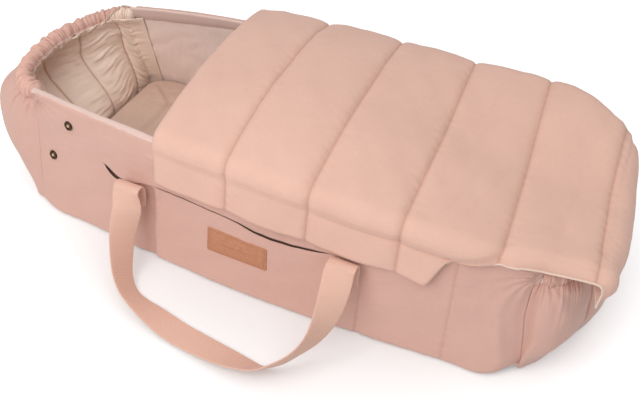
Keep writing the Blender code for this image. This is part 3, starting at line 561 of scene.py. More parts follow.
quilt_thread = plain("quilt_thread", (0.52, 0.27, 0.19), 0.8, speckle=0.1, scale=900)
tan_thread = plain("tan_thread", (0.46, 0.20, 0.10), 0.75, speckle=0.1, scale=900)
leather = plain("tan_leather", (0.50, 0.212, 0.113), 0.55, speckle=0.10, scale=260, relief_height=0.0003)
brass = plain("dark_antique_brass", (0.075, 0.042, 0.025), 0.38, 1.0, 0.35, 500, 0.0001)
brass_post = plain("worn_brass_post", (0.50, 0.36, 0.22), 0.35, 1.0, 0.2, 500, 0.0001)
hidden_board = plain("grey_board", (0.55, 0.52, 0.48), 0.9, speckle=0.1)
hidden_elastic = plain("white_elastic", (0.85, 0.84, 0.82), 0.8, speckle=0.05)
print("materials", len(bpy.data.materials))

# %% [markdown]
# A side wall is one piece of cotton from the floor to the rim, with a long slit where the webbing
# comes out. Below the slit is a pocket between two upright seams, and a third seam is near the
# foot. The slit is not cut: its two lips are two rows of points that lie on each other outside
# the slit, and inside it one is lifted and the other is pulled out, like the top of a pocket.

# %% Slit, seams and lean of a wall
POCKET_HEAD_X, POCKET_FOOT_X, FOOT_SEAM_X = -0.1355, 0.1355, 0.2400
SLIT_HEAD_X, SLIT_FOOT_X = -0.2164, 0.1600
STRAP_HEAD_X, STRAP_FOOT_X = -0.1610, 0.1185
STRAP_WIDTH = 0.022
SLIT_X = (-0.240, -0.2164, -0.208, -0.199, -0.190, -0.184, -0.176, -0.150, -0.070, -0.030, 0.006, 0.043,
          0.076, 0.100, 0.130, 0.160, 0.180)
LOW_LIP_Z = (0.1085, 0.1081, 0.1018, 0.0960, 0.0950, 0.0975, 0.1000, 0.1055, 0.1078, 0.1063, 0.1000, 0.0994,
             0.1022, 0.1060, 0.1080, 0.1085, 0.1085)
HIGH_LIP_Z = (0.1085, 0.1081, 0.1062, 0.1024, 0.0990, 0.0988, 0.1004, 0.1060, 0.1080, 0.1066, 0.1012, 0.1008,
              0.1036, 0.1068, 0.1086, 0.1085, 0.1085)
SLUMP_DOWN, SLUMP_OUT = 0.0045, 0.0050
NEAR_AND_FAR = (("near", -1), ("far", 1))


def rim_slump(side, x):
    """1 where the near rim, free of the quilt, has sunk a little and leans out; 0 elsewhere."""
    return (side < 0) * ease(-x, -0.01, 0.11)


def leaning(side, x, z):
    """How far a wall leans out where its rim has slumped: nothing low down, all of it at the rim."""
    return SLUMP_OUT * rim_slump(side, x) * ease(z, 0.100, 0.170)


def foot_seam_line(z):
    """Place of the upright seam near the foot, which leans towards the head."""
    return FOOT_SEAM_X - 0.004 * z / 0.15


def strap_spread(x):
    """1 where a strap comes out of the slit, falling off to both sides."""
    return bump(x - STRAP_HEAD_X, STRAP_WIDTH) + bump(x - STRAP_FOOT_X, STRAP_WIDTH)


print("slit", round(SLIT_FOOT_X - SLIT_HEAD_X, 4), "long, pocket", POCKET_FOOT_X - POCKET_HEAD_X, "wide")

# %% [markdown]
# Cotton over board is never flat. It has slow waves, its seams are pressed in with small puckers
# beside them, it hollows beside each strap, folds by the foot corner, and creases run out from
# the four knots where the elastics are held. All of these are added up into one relief, so that
# the label, the studs and the slit's backing can follow the same cloth.

# %% Relief of a wall
KNOT_CREASES = {"head": 0.0021, "foot": 0.0022}
KNOT_DROP, KNOT_HALF_WIDTH, CREASE_REACH = 0.010, 0.113, 0.026
SEAM_WIDTH, SEAM_PRESS, FOOT_SEAM_PRESS = 0.0015, 0.0013, 0.0011
PUCKER, PUCKER_WIDTH = 0.0004, 0.009
STRAP_HOLLOW, CORNER_PRESS = 0.0034, 0.0036
MIDDLE_SWELL, FOOT_SWELL, FOOT_FOLD = 0.0012, 0.0030, 0.0030


def knot_creases(x, y, z, knot, strength):
    """Creases that run out from a gathered corner: waves round the knot that fade with distance."""
    dx, dz = x - knot[0], z - knot[1]
    far_off = np.hypot(np.hypot(dx, y - knot[2]), dz)
    angle = np.arctan2(dz, np.hypot(dx, y - knot[2]))
    fading = strength * np.exp(-far_off / CREASE_REACH)
    return fading * np.cos(17 * angle + 60 * far_off) * ease(far_off, 0, 0.007)


def corner_creases(x, y, z):
    """The creases of the four rim corners, where each elastic is knotted to the wall."""
    return sum(knot_creases(x, y, z, (END_SIGN[end] * CORNER_X, END_HEIGHT[end] - KNOT_DROP,
                                      corner * KNOT_HALF_WIDTH), KNOT_CREASES[end])
               for end in END_SIGN for corner in (-1, 1))


def strap_hollow(x):
    """Where the wall lies back beside a strap, up to the edge of the pocket."""
    return (ease(x, -0.162, -0.140) * ease(POCKET_HEAD_X - x, 0.0, SEAM_WIDTH)
            + 0.5 * ease(-x, -0.150, -0.137) * ease(x - POCKET_FOOT_X, 0.0, SEAM_WIDTH))


def wall_relief(side, x, z):
    """How far the cloth of a wall stands out of the plain curve: slow waves, puckers, swells and
    a fold, less the hollows, the pressed seams and the drawn-in corner, plus creases and lean."""
    within = ease(CORNER_X - np.abs(x), 0.0, 0.03)
    below_slit = ease(0.108 - z, 0.0, 0.006)
    pocket, foot_seam = (x - POCKET_HEAD_X, x - POCKET_FOOT_X), x - foot_seam_line(z)
    waves = 0.0008 * ripples(x, z, 0.16, 0.09, 5 + side) + 0.0003 * ripples(x, z, 0.045, 0.03, 15 + side)
    pressed = SEAM_PRESS * sum(bump(away, SEAM_WIDTH) for away in pocket) * below_slit
    pressed = pressed + FOOT_SEAM_PRESS * bump(foot_seam, SEAM_WIDTH)
    beside_seams = sum(bump(away, PUCKER_WIDTH) for away in (*pocket, foot_seam))
    puckers = PUCKER * ripples(z, 0 * x, 0.008, 1.0, 25 + side) * beside_seams
    hollow = STRAP_HOLLOW * strap_hollow(x) * below_slit
    middle = MIDDLE_SWELL * bump(x + 0.030, 0.09) * bump(z - 0.070, 0.03)
    swell = FOOT_SWELL * bump(x - 0.303, 0.016) * bump(z - 0.085, 0.040)
    fold = FOOT_FOLD * bump(x - (0.311 - 0.015 * z / 0.09), 0.0060)
    fold = fold * ease(0.100 - z, 0.0, 0.05) * ease(z, 0.0, 0.02)
    corner = CORNER_PRESS * bump(x - CORNER_X, 0.008)
    knots = corner_creases(x, side * half_width(x, z), z)
    return ((waves + puckers + middle + swell + fold - hollow) * within - pressed - corner + knots
            + leaning(side, x, z))


def outer_wall(side, x, z):
    """Half width of the cot over the cloth of a side wall: the plain curve and its relief."""
    return half_width(x, z) + wall_relief(side, x, z)


print("near wall at the label stands out", round(float(wall_relief(-1, np.array(0.0), np.array(0.07))), 5))

# %% [markdown]
# The wall is now rows of points: a roll under at the floor, the part below the slit, the part
# above it, and a roll over the rim. Both parts go into one mesh. Where the slit is closed, the
# faces above it use the points below it, so the cloth is in one piece there.

# %% Side walls
WALL_COLUMNS, CLOTH_THICKNESS, RIM_ROLL = 391, 0.0011, 0.0022
LIP_OUT, LIP_OUT_LESS, LIP_OUT_MIDDLE = 0.0018, 0.0010, 0.0014
HIGH_LIP_OUT, HIGH_LIP_AT_STRAP = 0.0004, 0.0026
TURNED_IN = {-1: 0.0010, 1: 0.0058}
LINE_WIDTH = 0.0012
wall_x = np.linspace(-CORNER_X, CORNER_X, WALL_COLUMNS)


def wall_grids(side):
    """Rows of points up a side wall: the roll at the floor and the part below the slit, then the
    part above the slit and the roll at the rim. Beside the slit both parts have the same row."""
    x = wall_x[None, :]
    roll = np.linspace(0, math.pi / 2, 7)[:-1, None]
    low = np.linspace(0, 1, 46)[:, None] ** 0.9
    high = np.linspace(0, 1, 32)[:, None] ** 1.15
    rim_roll = np.linspace(0, math.pi / 2, 6)[1:, None]
    rim = rim_height(x) - SLUMP_DOWN * rim_slump(side, x)
    low_lip = curve_through(x, SLIT_X, LOW_LIP_Z)
    high_lip = np.maximum(curve_through(x, SLIT_X, HIGH_LIP_Z), low_lip)
    is_open = ease(x, SLIT_HEAD_X, SLIT_HEAD_X + 0.012) * ease(-x, -SLIT_FOOT_X, -SLIT_FOOT_X + 0.02)
    z_roll = HEM_ROLL * (1 - np.cos(roll)) + 0 * x
    rolled_relief = wall_relief(side, x, HEM_ROLL + 0 * z_roll) * np.sin(roll)
    y_roll = half_width(x, z_roll) - HEM_ROLL * (1 - np.sin(roll)) + rolled_relief
    z_low = HEM_ROLL + (low_lip - HEM_ROLL) * low
    out_low = (LIP_OUT - LIP_OUT_LESS * strap_spread(x) + LIP_OUT_MIDDLE * bump(x - 0.030, 0.045)) * is_open
    y_low = outer_wall(side, x, z_low) + out_low * np.exp(-(low_lip - z_low) / 0.018)
    z_high = high_lip + (rim - RIM_ROLL - high_lip) * high
    out_high = (HIGH_LIP_OUT + HIGH_LIP_AT_STRAP * strap_spread(x)) * is_open
    y_high = outer_wall(side, x, z_high) + out_high * np.exp(-(z_high - high_lip) / 0.013)
    z_rim = rim - RIM_ROLL * (1 - np.sin(rim_roll))
    rim_relief = wall_relief(side, x, rim) * np.cos(rim_roll)
    y_rim = half_width(x, rim) - RIM_ROLL * (1 - np.cos(rim_roll)) + rim_relief
    turned_in = np.linspace(0, TURNED_IN[side], 5)[1:, None]
    y_top, z_top = y_rim[-1:] - turned_in, z_rim[-1:] + 0.0004 * np.sin(turned_in / TURNED_IN[1] * math.pi)

    def rows(*pairs):
        """Points of some rows, bent to the foot seam and lifted at the low corners."""
        return np.concatenate([
            np.stack([x + foot_seam_shift(z) * ease(x, 0.23, CORNER_X), side * y,
                      z + corner_lift(CORNER_X - np.abs(x), z, x > 0)], axis=-1) for y, z in pairs])

    return rows((y_roll, z_roll), (y_low, z_low)), rows((y_high, z_high), (y_rim, z_rim), (y_top, z_top))


def sew_wall(label, side):
    """Both parts of a wall in one mesh, joined beside the slit, with a little thickness. The per-point
    number is a narrow bell on each seam, and painted shadow of the head strap beside it."""
    low_rows, high_rows = wall_grids(side)
    split = len(low_rows)
    grid = np.concatenate([low_rows, high_rows])
    rows, columns = grid.shape[:2]
    x, below_slit = grid[:, :, 0], (np.arange(rows) < split)[:, None]
    seams_and_shade = 0.5 * sum(bump(x - place, LINE_WIDTH) for place in (POCKET_HEAD_X, POCKET_FOOT_X)) * below_slit
    seams_and_shade = np.maximum(seams_and_shade, 0.45 * bump(x - foot_seam_line(grid[:, :, 2]), LINE_WIDTH))
    # painted shadow: the wall between the head strap and the pocket seam is darkened as the strap's shade
    shade = ease(x, -0.156, -0.150) * ease(POCKET_HEAD_X - x, 0.0, SEAM_WIDTH)
    seams_and_shade = np.maximum(seams_and_shade, 0.42 * shade * below_slit)
    keep = np.arange(rows - 1) != split - 1
    faces = faces_of_grid(rows, columns, False).reshape(rows - 1, columns - 1, 4)[keep].reshape(-1, 4)
    closed = (wall_x < SLIT_HEAD_X) | (wall_x > SLIT_FOOT_X)
    number = np.arange(rows * columns).reshape(rows, columns)
    number[split, closed] = number[split - 1, closed]
    faces = number.ravel()[faces]
    faces = faces[:, ::-1] if side > 0 else faces
    wall = make_mesh(label + "_wall", grid.reshape(-1, 3), faces, cloth_map(grid), seams_and_shade.ravel(), wall_cotton)
    thicken(wall, CLOTH_THICKNESS)
    dress(wall, "dusty_pink", label + "_outer_panel", label + "_pocket_panel")
    print(label, "wall", rows, "rows of", columns, "points")


for label, side in NEAR_AND_FAR:
    sew_wall(label, side)

# %% [markdown]
# Behind the slit hangs a second layer of cotton, coloured nearly black as painted shadow, so
# nobody sees through the slit into the wall. Between it and the inner wall stands the stiff
# board, which stops short of the corners. Both are plain strips that follow the wall's curve.

# %% Slit backing and boards
BACKING_DEPTH, BACKING_THICKNESS = 0.0030, 0.0006
BOARD_DEPTH, BOARD_THICKNESS = 0.0046, 0.0022
BOARD_HEAD_X, BOARD_FOOT_X, BOARD_FOOT_Z, BOARD_SHORT = -0.296, 0.290, 0.014, 0.030
for label, side in NEAR_AND_FAR:
    x = np.linspace(SLIT_HEAD_X - 0.02, SLIT_FOOT_X + 0.02, 200)[None, :]
    z = curve_through(x, SLIT_X, LOW_LIP_Z) + np.linspace(-0.030, 0.014, 24)[:, None]
    grid = np.stack([x + 0 * z, side * (outer_wall(side, x, z) - BACKING_DEPTH), z], axis=-1)
    # the backing is coloured as painted shadow
    backing = cloth_grid(label + "_slit_backing", grid, shadow_painted_cotton, (0, side, 0),
                         thickness=BACKING_THICKNESS)
    dress(backing, "dusty_pink", label + "_pocket_panel")
    x = np.linspace(BOARD_HEAD_X, BOARD_FOOT_X, 120)[None, :]
    z = BOARD_FOOT_Z + (rim_height(x) - BOARD_SHORT) * np.linspace(0, 1, 24)[:, None]
    grid = np.stack([x + 0 * z, side * (half_width(x, z) - BOARD_DEPTH + leaning(side, x, z)), z], axis=-1)
    board = cloth_grid(label + "_wall_board", grid, hidden_board, (0, side, 0), thickness=BOARD_THICKNESS)
    dress(board, "grey_board", label + "_side_board")
    print(label, "board", round(BOARD_FOOT_X - BOARD_HEAD_X, 3), "long")

# %% [markdown]
# A paler band is folded over the top of each wall and a little way down inside. Below it is the
# inner wall. The band is a profile of two round bends and a short drop, carried along the rim as
# a strip of cloth is folded over an edge. It comes down a little further near the head.

# %% Rim bands and inner walls
BAND_START = {-1: 0.0012, 1: 0.0056}
BAND_DROP, BAND_DROP_AT_HEAD = 0.013, 0.005
LINING_THICKNESS = 0.0009
for label, side in NEAR_AND_FAR:
    x = np.linspace(-CORNER_X - 0.007, CORNER_X + 0.004, WALL_COLUMNS)[None, :]
    rim = rim_height(x) - SLUMP_DOWN * rim_slump(side, x)
    drop = BAND_DROP + BAND_DROP_AT_HEAD * ease(-x, 0.10, 0.28)
    bend = np.linspace(0, math.pi / 2, 7)[:, None]
    depth = np.concatenate([
        BAND_START[side] + 0.0016 * np.sin(bend) + 0 * x, WALL - 0.0022 + 0.0030 * np.sin(bend) + 0 * x,
        WALL + 0.0008 + 0 * x, WALL + 0.0006 + 0 * x, WALL - 0.0002 + 0 * x])
    height = np.concatenate([
        rim - 0.0014 + 0.0024 * (1 - np.cos(bend)), rim + 0.0010 - 0.0030 * (1 - np.cos(bend)),
        rim - drop * 0.5, rim - drop + 0.0008, rim - drop])
    soft = 0.0004 * ripples(x, 0 * x, 0.06, 1.0, 40 + side) + leaning(side, x, height)
    grid = np.stack([x + 0 * depth, side * (half_width(x, height) - depth + soft), height], axis=-1)
    band = cloth_grid(label + "_rim_band", grid, pale_cotton, (0, -side * 0.3, 1), thickness=LINING_THICKNESS)
    dress(band, "pale_lining", label + "_rim_facing")
    z = 0.004 + (rim - 0.006 - 0.004) * np.linspace(0, 1, 40)[:, None]
    soft = 0.0010 * ripples(x, z, 0.12, 0.07, 50 + side) + 0.0003 * ripples(x, z, 0.03, 0.03, 60 + side)
    y = half_width(x, z) - WALL + 0.0014 - 0.8 * np.abs(soft) + leaning(side, x, z)
    grid = np.stack([x + 0 * z, side * y, z], axis=-1)
    inner = cloth_grid(label + "_inner_wall", grid, inner_cotton_painted_light, (0, -side, 0), thickness=LINING_THICKNESS)
    dress(inner, "pale_lining", label + "_lining")
    print(label, "band comes down inside by", BAND_DROP, "to", BAND_DROP + BAND_DROP_AT_HEAD)

# %% [markdown]
# Each end is padded and sewn into upright channels: the foot has three seams and the head only a
# faint one. Between seams the padding swells as a sine, raised to a power below 1 so that the
# middle is broad and the seams are sharp. The gathered rim above is a row of ruffles, and the
# valleys between them run on down into the pad, so both need the same count of ruffles.

# %% Channels and ruffles
CASING_HEIGHT, CASING_HALF = 0.025, 0.0112
RUFFLES, RUFFLE_DRIFT = 38, 0.95
OUTER_SEAMS = {"head": (-1.0, 0.0, 1.0), "foot": (-1.0, -0.34, 0.02, 0.36, 1.0)}
LINER_SEAMS = {"head": (-1.0, -0.45, -0.04, 0.27, 0.70, 1.0), "foot": (-1.0, -0.6, -0.2, 0.2, 0.6, 1.0)}
LINER_LEAN = {"head": (0.0, 0.05, 0.12, 0.12, 0.23, 0.0), "foot": (0.0, 0.0, 0.0, 0.0, 0.0, 0.0)}


def channel_swell(across, seams, power=0.55):
    """A sine over each channel, from seam to seam, raised to a power."""
    count = np.interp(across, seams, np.arange(len(seams)))
    return np.abs(np.sin(math.pi * count)) ** power


def seam_marks(across, seams, width=0.012):
    """1 on each seam between channels, falling off to both sides."""
    return sum(bump(across - place, width) for place in seams[1:-1])


def ruffle_phase(across, sign):
    """Angle that grows by half a turn per ruffle, unevenly, so that no two ruffles are alike."""
    drift = RUFFLE_DRIFT * ripples(across, 0 * across, 0.13, 1.0, 100 + sign)
    return RUFFLES * math.pi * (across + 1) / 2 + drift


print("channels", {end: len(seams) - 1 for end, seams in OUTER_SEAMS.items()}, "ruffles", RUFFLES)

# %% [markdown]
# The outer pad is one grid from the floor to the gathered rim. Its swell, gathers, creases and
# tucks are first added up as a distance outwards, and the end's curve is then worked out again
# with that distance, so that the padding always stands square to the cot.

# %% Outer pads of the ends
HALF_ARC = 0.17
HEAD_CROWN, HEAD_SEAM, FOOT_CROWN, FOOT_SEAM = 0.0042, 0.0008, 0.0060, 0.0026
GATHER_DEPTH = {"head": 0.0042, "foot": 0.0020}
SMALL_GATHERS, PAD_WAVES = 0.0011, 0.0007
FOOT_EDGE, FOOT_EDGE_TUCK, RIM_TUCK = 0.0036, 0.0030, 0.0050
SEAM_WORN = {"head": 0.3, "foot": 0.8}
TUCK_SHADE = {"head": 0.0, "foot": 0.45}


def pad_crown(end, across, arch):
    """Swell of the padding: over the whole head, but over each channel at the foot."""
    if end == "head":
        return HEAD_CROWN * ease(1 - np.abs(across), 0.0, 0.40) * arch - HEAD_SEAM * bump(across, 0.03) * arch
    seams = OUTER_SEAMS[end]
    return (FOOT_CROWN * channel_swell(across, seams) - FOOT_SEAM * seam_marks(across, seams)) * arch


def outer_end(end):
    """Outer pad of an end: roll at the floor, then the channels up to the gathered rim, where
    the valleys between the ruffles run down into the cloth and fade."""
    sign, height = END_SIGN[end], END_HEIGHT[end]
    top = height - CASING_HEIGHT * 0.62
    across = np.linspace(-1, 1, 541)[None, :]
    roll = np.linspace(0, math.pi / 2, 7)[:-1, None]
    climb = np.linspace(0, 1, 84)[:, None]
    z = np.concatenate([HEM_ROLL * (1 - np.cos(roll)), HEM_ROLL + (top - HEM_ROLL) * climb])
    tuck = np.concatenate([HEM_ROLL * (1 - np.sin(roll)), 0 * climb]) + 0 * across
    share, from_corner, length = z / top, 1 - np.abs(across), across * HALF_ARC
    climbed = np.clip(share, 0, 1)
    arch = np.sin(math.pi * climbed) ** 0.5
    valley = 1 - np.sqrt(np.abs(np.sin(ruffle_phase(across, sign))) + 0.02)
    uneven = 0.85 + 0.45 * ripples(across, 0 * across, 0.05, 1.0, 75 + sign)
    gathers = GATHER_DEPTH[end] * valley * uneven * climbed ** 7 * ease(from_corner, 0.0, 0.06)
    small = SMALL_GATHERS * ripples(length, z, 0.012, 0.10, 70 + sign)
    gathers = gathers + small * climbed ** 5 * ease(from_corner, 0, 0.1)
    soft = PAD_WAVES * ripples(length, z, 0.05, 0.06, 80 + sign) * ease(from_corner, 0.0, 0.1)
    point = end_point(end, across, z / height, 0.0)
    knots = corner_creases(point[..., 0], point[..., 1], point[..., 2])
    edge = 0.0
    if end == "foot":
        edge = FOOT_EDGE * bump(from_corner, 0.05) + FOOT_EDGE_TUCK * bump(from_corner - 0.045, 0.03) * arch
    under_rim = (RIM_TUCK * ease(share, 0.90, 1.0) + 0.0010) * ease(share, 0.85, 1.0)
    outward = pad_crown(end, across, arch) - gathers + soft + knots - edge - under_rim
    grid = end_point(end, across, z / height, tuck - outward)
    grid[:, :, 2] += corner_lift(from_corner * HALF_ARC, z, end == "foot")
    return grid, across


for end in END_SIGN:
    grid, across = outer_end(end)
    seams_and_shade = SEAM_WORN[end] * seam_marks(across, OUTER_SEAMS[end], 0.007)
    # painted shade in the tuck beside the foot's corner seam
    seams_and_shade = seams_and_shade + TUCK_SHADE[end] * bump(1 - np.abs(across) - 0.03, 0.04)
    pad = cloth_grid(end + "_end_pad", grid, wall_cotton, (END_SIGN[end], 0, 0), seams_and_shade,
                     thickness=CLOTH_THICKNESS)
    dress(pad, "dusty_pink", end + "_end_panel")
    print(end, "pad reaches", round(float(np.abs(grid[:, :, 0]).max()), 4))

# %% [markdown]
# Inside each end is a padded liner of beige satin, sewn into channels and a little too long for
# its height, so it wrinkles across. The wrinkles are ripples that are long sideways and short in
# height, and they fade at the seams. Towards the mattress the liner comes in to a straight edge,
# because the mattress has square ends, and at the corners it meets the inner walls.

# %% End liners
MATTRESS_HEAD_X, MATTRESS_FOOT_X = -0.3215, 0.3300
LINER_BOTTOM, LINER_ARC, LINER_THICKNESS = 0.012, 0.15, 0.0008
LINER_SWELL, WRINKLE, FINE_WRINKLE = 0.0070, 0.0016, 0.0007
LINER_EDGE = {"head": MATTRESS_HEAD_X - 0.004, "foot": MATTRESS_FOOT_X + 0.004}
for end in END_SIGN:
    sign, height, seams = END_SIGN[end], END_HEIGHT[end], LINER_SEAMS[end]
    top = height - CASING_HEIGHT * 0.55
    across = np.linspace(-1, 1, 321)[None, :]
    z = LINER_BOTTOM + (top - LINER_BOTTOM) * np.linspace(0, 1, 110)[:, None]
    share, length = z / top, across * LINER_ARC
    upright = across + (1 - share) * np.interp(across, np.array(seams) - LINER_LEAN[end], LINER_LEAN[end])
    marks = seam_marks(upright, seams, 0.05)
    swell = channel_swell(upright, seams, 0.5) * np.sin(math.pi * np.clip(share * 0.96 + 0.02, 0, 1)) ** 0.35
    wrinkle = ripples(length, z + 0.10 * length * np.sin(9 * across), 0.050, 0.012, 90 + sign)
    wrinkle = wrinkle * channel_swell(upright, seams, 0.7) * (0.40 + 0.60 * share)
    fine = ripples(length, z, 0.02, 0.009, 95 + sign) * np.clip(marks, 0, 1)
    depth = WALL - 0.0005 + LINER_SWELL * swell + WRINKLE * wrinkle + FINE_WRINKLE * fine
    depth = depth + (2 * CASING_HALF - WALL - 0.002) * ease(share, 0.86, 1.0)
    grid = end_point(end, across, z / height, depth)
    low = ease(0.118 - z, 0.0, 0.085) * (np.abs(grid[:, :, 0]) > abs(LINER_EDGE[end]))
    target = LINER_EDGE[end] - sign * (LINER_SWELL * swell + WRINKLE * wrinkle - 0.006)
    grid[:, :, 0] += (target - grid[:, :, 0]) * low
    side_x = sign * (0.3140 - 0.0070 * (1 - share)) + 0 * across
    side_y = np.sign(across) * (half_width(side_x, z) - WALL - 0.0012)
    reaching = ease(np.abs(across), 0.93, 1.0)
    grid[:, :, 0] += (side_x - grid[:, :, 0]) * reaching
    grid[:, :, 1] += (side_y - grid[:, :, 1]) * reaching
    # the seams are dark lines; the hollows of the wrinkles get painted shade
    seams_and_shade = 0.85 * np.clip(seam_marks(upright, seams, 0.008), 0, 1) + 0.12 * np.clip(-wrinkle, 0, 1)
    liner = cloth_grid(end + "_end_liner", grid, liner_satin_painted_light, (-sign, 0, 0), seams_and_shade, thickness=LINER_THICKNESS)
    dress(liner, "beige_satin", end + "_end_lining")
    print(end, "liner", grid.shape[:2], "points")

# %% [markdown]
# A flat elastic inside a tube of cotton draws each end's rim into ruffles. The tube is round,
# carried round the end, and it closes at both corners. Its size goes in and out along the way as
# the square root of a sine, which gives round ridges with sharp valleys. A cloth simulation of
# shrinking elastic would be slow and would put the ridges where it likes.

# %% Shape of a gathered rim
RIM_COLUMNS = 801
RIM_SAG, FAR_RIM_SAG, RIM_PUSHED_OUT = 0.0012, 0.0022, 0.0016
RUFFLE_DEPTH, LUMP, SMALL_LUMP = 0.0034, 0.0011, 0.0004


def ring_sag(across):
    """How far the gathered rim hangs below its two ends, a little more beyond the middle."""
    from_corner = 1 - np.abs(across)
    sag = RIM_SAG * ease(from_corner, 0.0, 0.2) + FAR_RIM_SAG * bump(across - 0.5, 0.3)
    return sag * ease(from_corner, 0.0, 0.12)


def rim_line(end, across, depth):
    """Line round an end, half a tube's height below the rim, at a depth inside the outer cloth."""
    return end_point(end, across, 1 - CASING_HEIGHT / 2 / END_HEIGHT[end], depth)


def ruffle_grid(end, start_angle, stop_angle, steps, grow=0.0):
    """Part of the round tube between two angles, which may change along it; 0 degrees faces
    out of the cot, 90 up and 180 in. The radius is the tube's half size less the ruffles' valleys."""
    sign, at_head = END_SIGN[end], end == "head"
    across = np.linspace(-1, 1, RIM_COLUMNS)[None, :]
    from_corner = 1 - np.abs(across)
    mix = np.linspace(0, 1, steps)[:, None]
    angle = np.radians(start_angle + (stop_angle - start_angle) * mix)
    middle = rim_line(end, across, CASING_HALF)
    outward = rim_line(end, across, 0.0) - middle
    middle[:, :, 2] -= ring_sag(across) * at_head
    outward = unit(outward)
    middle = middle + RIM_PUSHED_OUT * outward * (ease(from_corner, 0.0, 0.12) * at_head)[:, :, None]
    phase = ruffle_phase(across, sign)
    valley = 1 - np.sqrt(np.abs(np.sin(phase + 0.30 * np.sin(angle - 1.2))) + 0.02)
    uneven = 0.80 + 0.30 * ripples(across, 0 * across, 0.09, 1.0, 110 + sign)
    depth = RUFFLE_DEPTH * uneven * valley * (0.55 + 0.45 * np.sin(np.clip(angle, 0.2, math.pi - 0.2)) ** 2)
    lump = LUMP * ripples(across, angle, 0.10, 3.0, 120 + sign)
    lump = lump + SMALL_LUMP * ripples(across, angle, 0.012, 1.6, 125 + sign)
    opening = np.clip(from_corner / 0.045, 0, 1)
    closing = np.sqrt(1 - (1 - opening) ** 2) * (1 - 0.30 * bump(from_corner, 0.06))
    wide = (CASING_HALF - depth + lump + grow) * closing
    tall = (CASING_HEIGHT / 2 - depth + lump + grow) * closing
    grid = middle + (np.cos(angle) * wide)[:, :, None] * outward
    grid[:, :, 2] += np.sin(angle) * tall
    return grid, phase, np.clip(valley, 0, 1)


print("one ruffle is", round(2 * HALF_ARC / RUFFLES, 4), "wide at the middle line")

# %% [markdown]
# The tube is cotton outside and satin inside, and a cream frill stands where they meet. Each is
# a part of the same tube between two angles, so they always fit each other. The flat elastic
# runs hidden along the middle.

# %% Gathered rims
RIM_THICKNESS, ELASTIC_HALF, ELASTIC_THICKNESS = 0.0006, 0.0062, 0.0014
FRILL, FRILL_GROW, FRILL_STEPS = 0.0007, 0.0009, 6
for end in END_SIGN:
    sign = END_SIGN[end]
    across = np.linspace(-1, 1, RIM_COLUMNS)[None, :]
    meeting = 176 - 82 * ease(across, 0.50, 0.86)
    grid, _, valley = ruffle_grid(end, -95 + 0 * across, meeting, 34)
    # the valleys between the ruffles are darkened: painted shade in the gathers
    outer = cloth_grid(end + "_ruffle", grid, ruffle_cotton_painted_light, (0, 0, 1), 0.55 * valley,
                       thickness=RIM_THICKNESS)
    dress(outer, "dusty_pink", end + "_elastic_casing")
    grid, _, valley = ruffle_grid(end, meeting, 262 + 0 * across, 16)
    # painted shade in the valleys of the lining, as outside
    inner = cloth_grid(end + "_ruffle_lining", grid, liner_satin_painted_light, (-sign, 0, 0), 0.6 * valley,
                       thickness=RIM_THICKNESS)
    dress(inner, "beige_satin", end + "_elastic_casing")
    grid, phase, valley = ruffle_grid(end, meeting - 8, meeting + 4, FRILL_STEPS, grow=FRILL_GROW)
    flare = (FRILL + FRILL * np.sin(2 * phase)) * np.linspace(0, 1, FRILL_STEPS)[:, None] ** 1.5
    lip = grid + unit(grid - rim_line(end, across, CASING_HALF)) * flare[:, :, None]
    # painted shade in the valleys of the frill
    trim = cloth_grid(end + "_ruffle_trim", lip, cream_cotton, (0, 0, 1), 0.5 * valley,
                      thickness=RIM_THICKNESS)
    dress(trim, "beige_satin", end + "_elastic_casing")
    band = rim_line(end, np.linspace(-0.93, 0.93, 160)[None, :], CASING_HALF)
    band = band + np.linspace(-ELASTIC_HALF, ELASTIC_HALF, 5)[:, None, None] * np.array([0, 0, 1.0])
    elastic = cloth_grid(end + "_elastic_band", band, hidden_elastic, (sign, 0, 0),
                         thickness=ELASTIC_THICKNESS)
    dress(elastic, "white_elastic", end + "_elastic")
    print(end, "ruffle", outer.data.name, "with", len(outer.data.polygons), "faces")

# %% [markdown]
# The underside is one piece of cotton, sewn to the hems of the walls and ends, with a stiff
# board on it. Both are rings: the outline of the cot at the floor, drawn in step by step to a
# line along the middle. A single many-sided face would do too, but with rings the edge alone can
# be lifted at the corners, as the hems are.

# %% Base cloth and board
BASE_INSET, BASE_Z, BASE_THICKNESS = 0.0005, 0.0002, 0.0012
PLATE_INSET, PLATE_Z, PLATE_THICKNESS = 0.012, 0.0036, 0.0020
OUTLINE_POINTS, SPINE_SHARE = 90, 0.55


def outline(inset):
    """Closed plan outline at the floor, moved inwards: two bowed sides and two rounded ends."""
    x = np.linspace(-CORNER_X, CORNER_X, OUTLINE_POINTS, endpoint=False)
    near = np.stack([x, -(half_width(x, 0.0) - inset)], axis=1)
    far = np.stack([-x, half_width(-x, 0.0) - inset], axis=1)
    arcs = []
    for end in ("foot", "head"):
        across = np.linspace(-1, 1, OUTLINE_POINTS // 2, endpoint=False) * END_SIGN[end]
        arc = end_point(end, across, 0.0, 0.0)[:, :2]
        angle = across * math.pi / 2
        arc[:, 0] -= END_SIGN[end] * inset * np.cos(angle)
        arc[:, 1] -= inset * np.sin(angle)
        arcs.append(arc)
    return np.concatenate([near, arcs[0], far, arcs[1]])


def rings_inwards(edge, count, height):
    """Rings at a height, from an outline towards a line along the middle."""
    spine = edge * np.array([SPINE_SHARE, 0.0])
    rings = [edge + (spine - edge) * share for share in np.linspace(0, 1, count)]
    return np.stack([np.column_stack([ring, np.full(len(ring), height)]) for ring in rings])


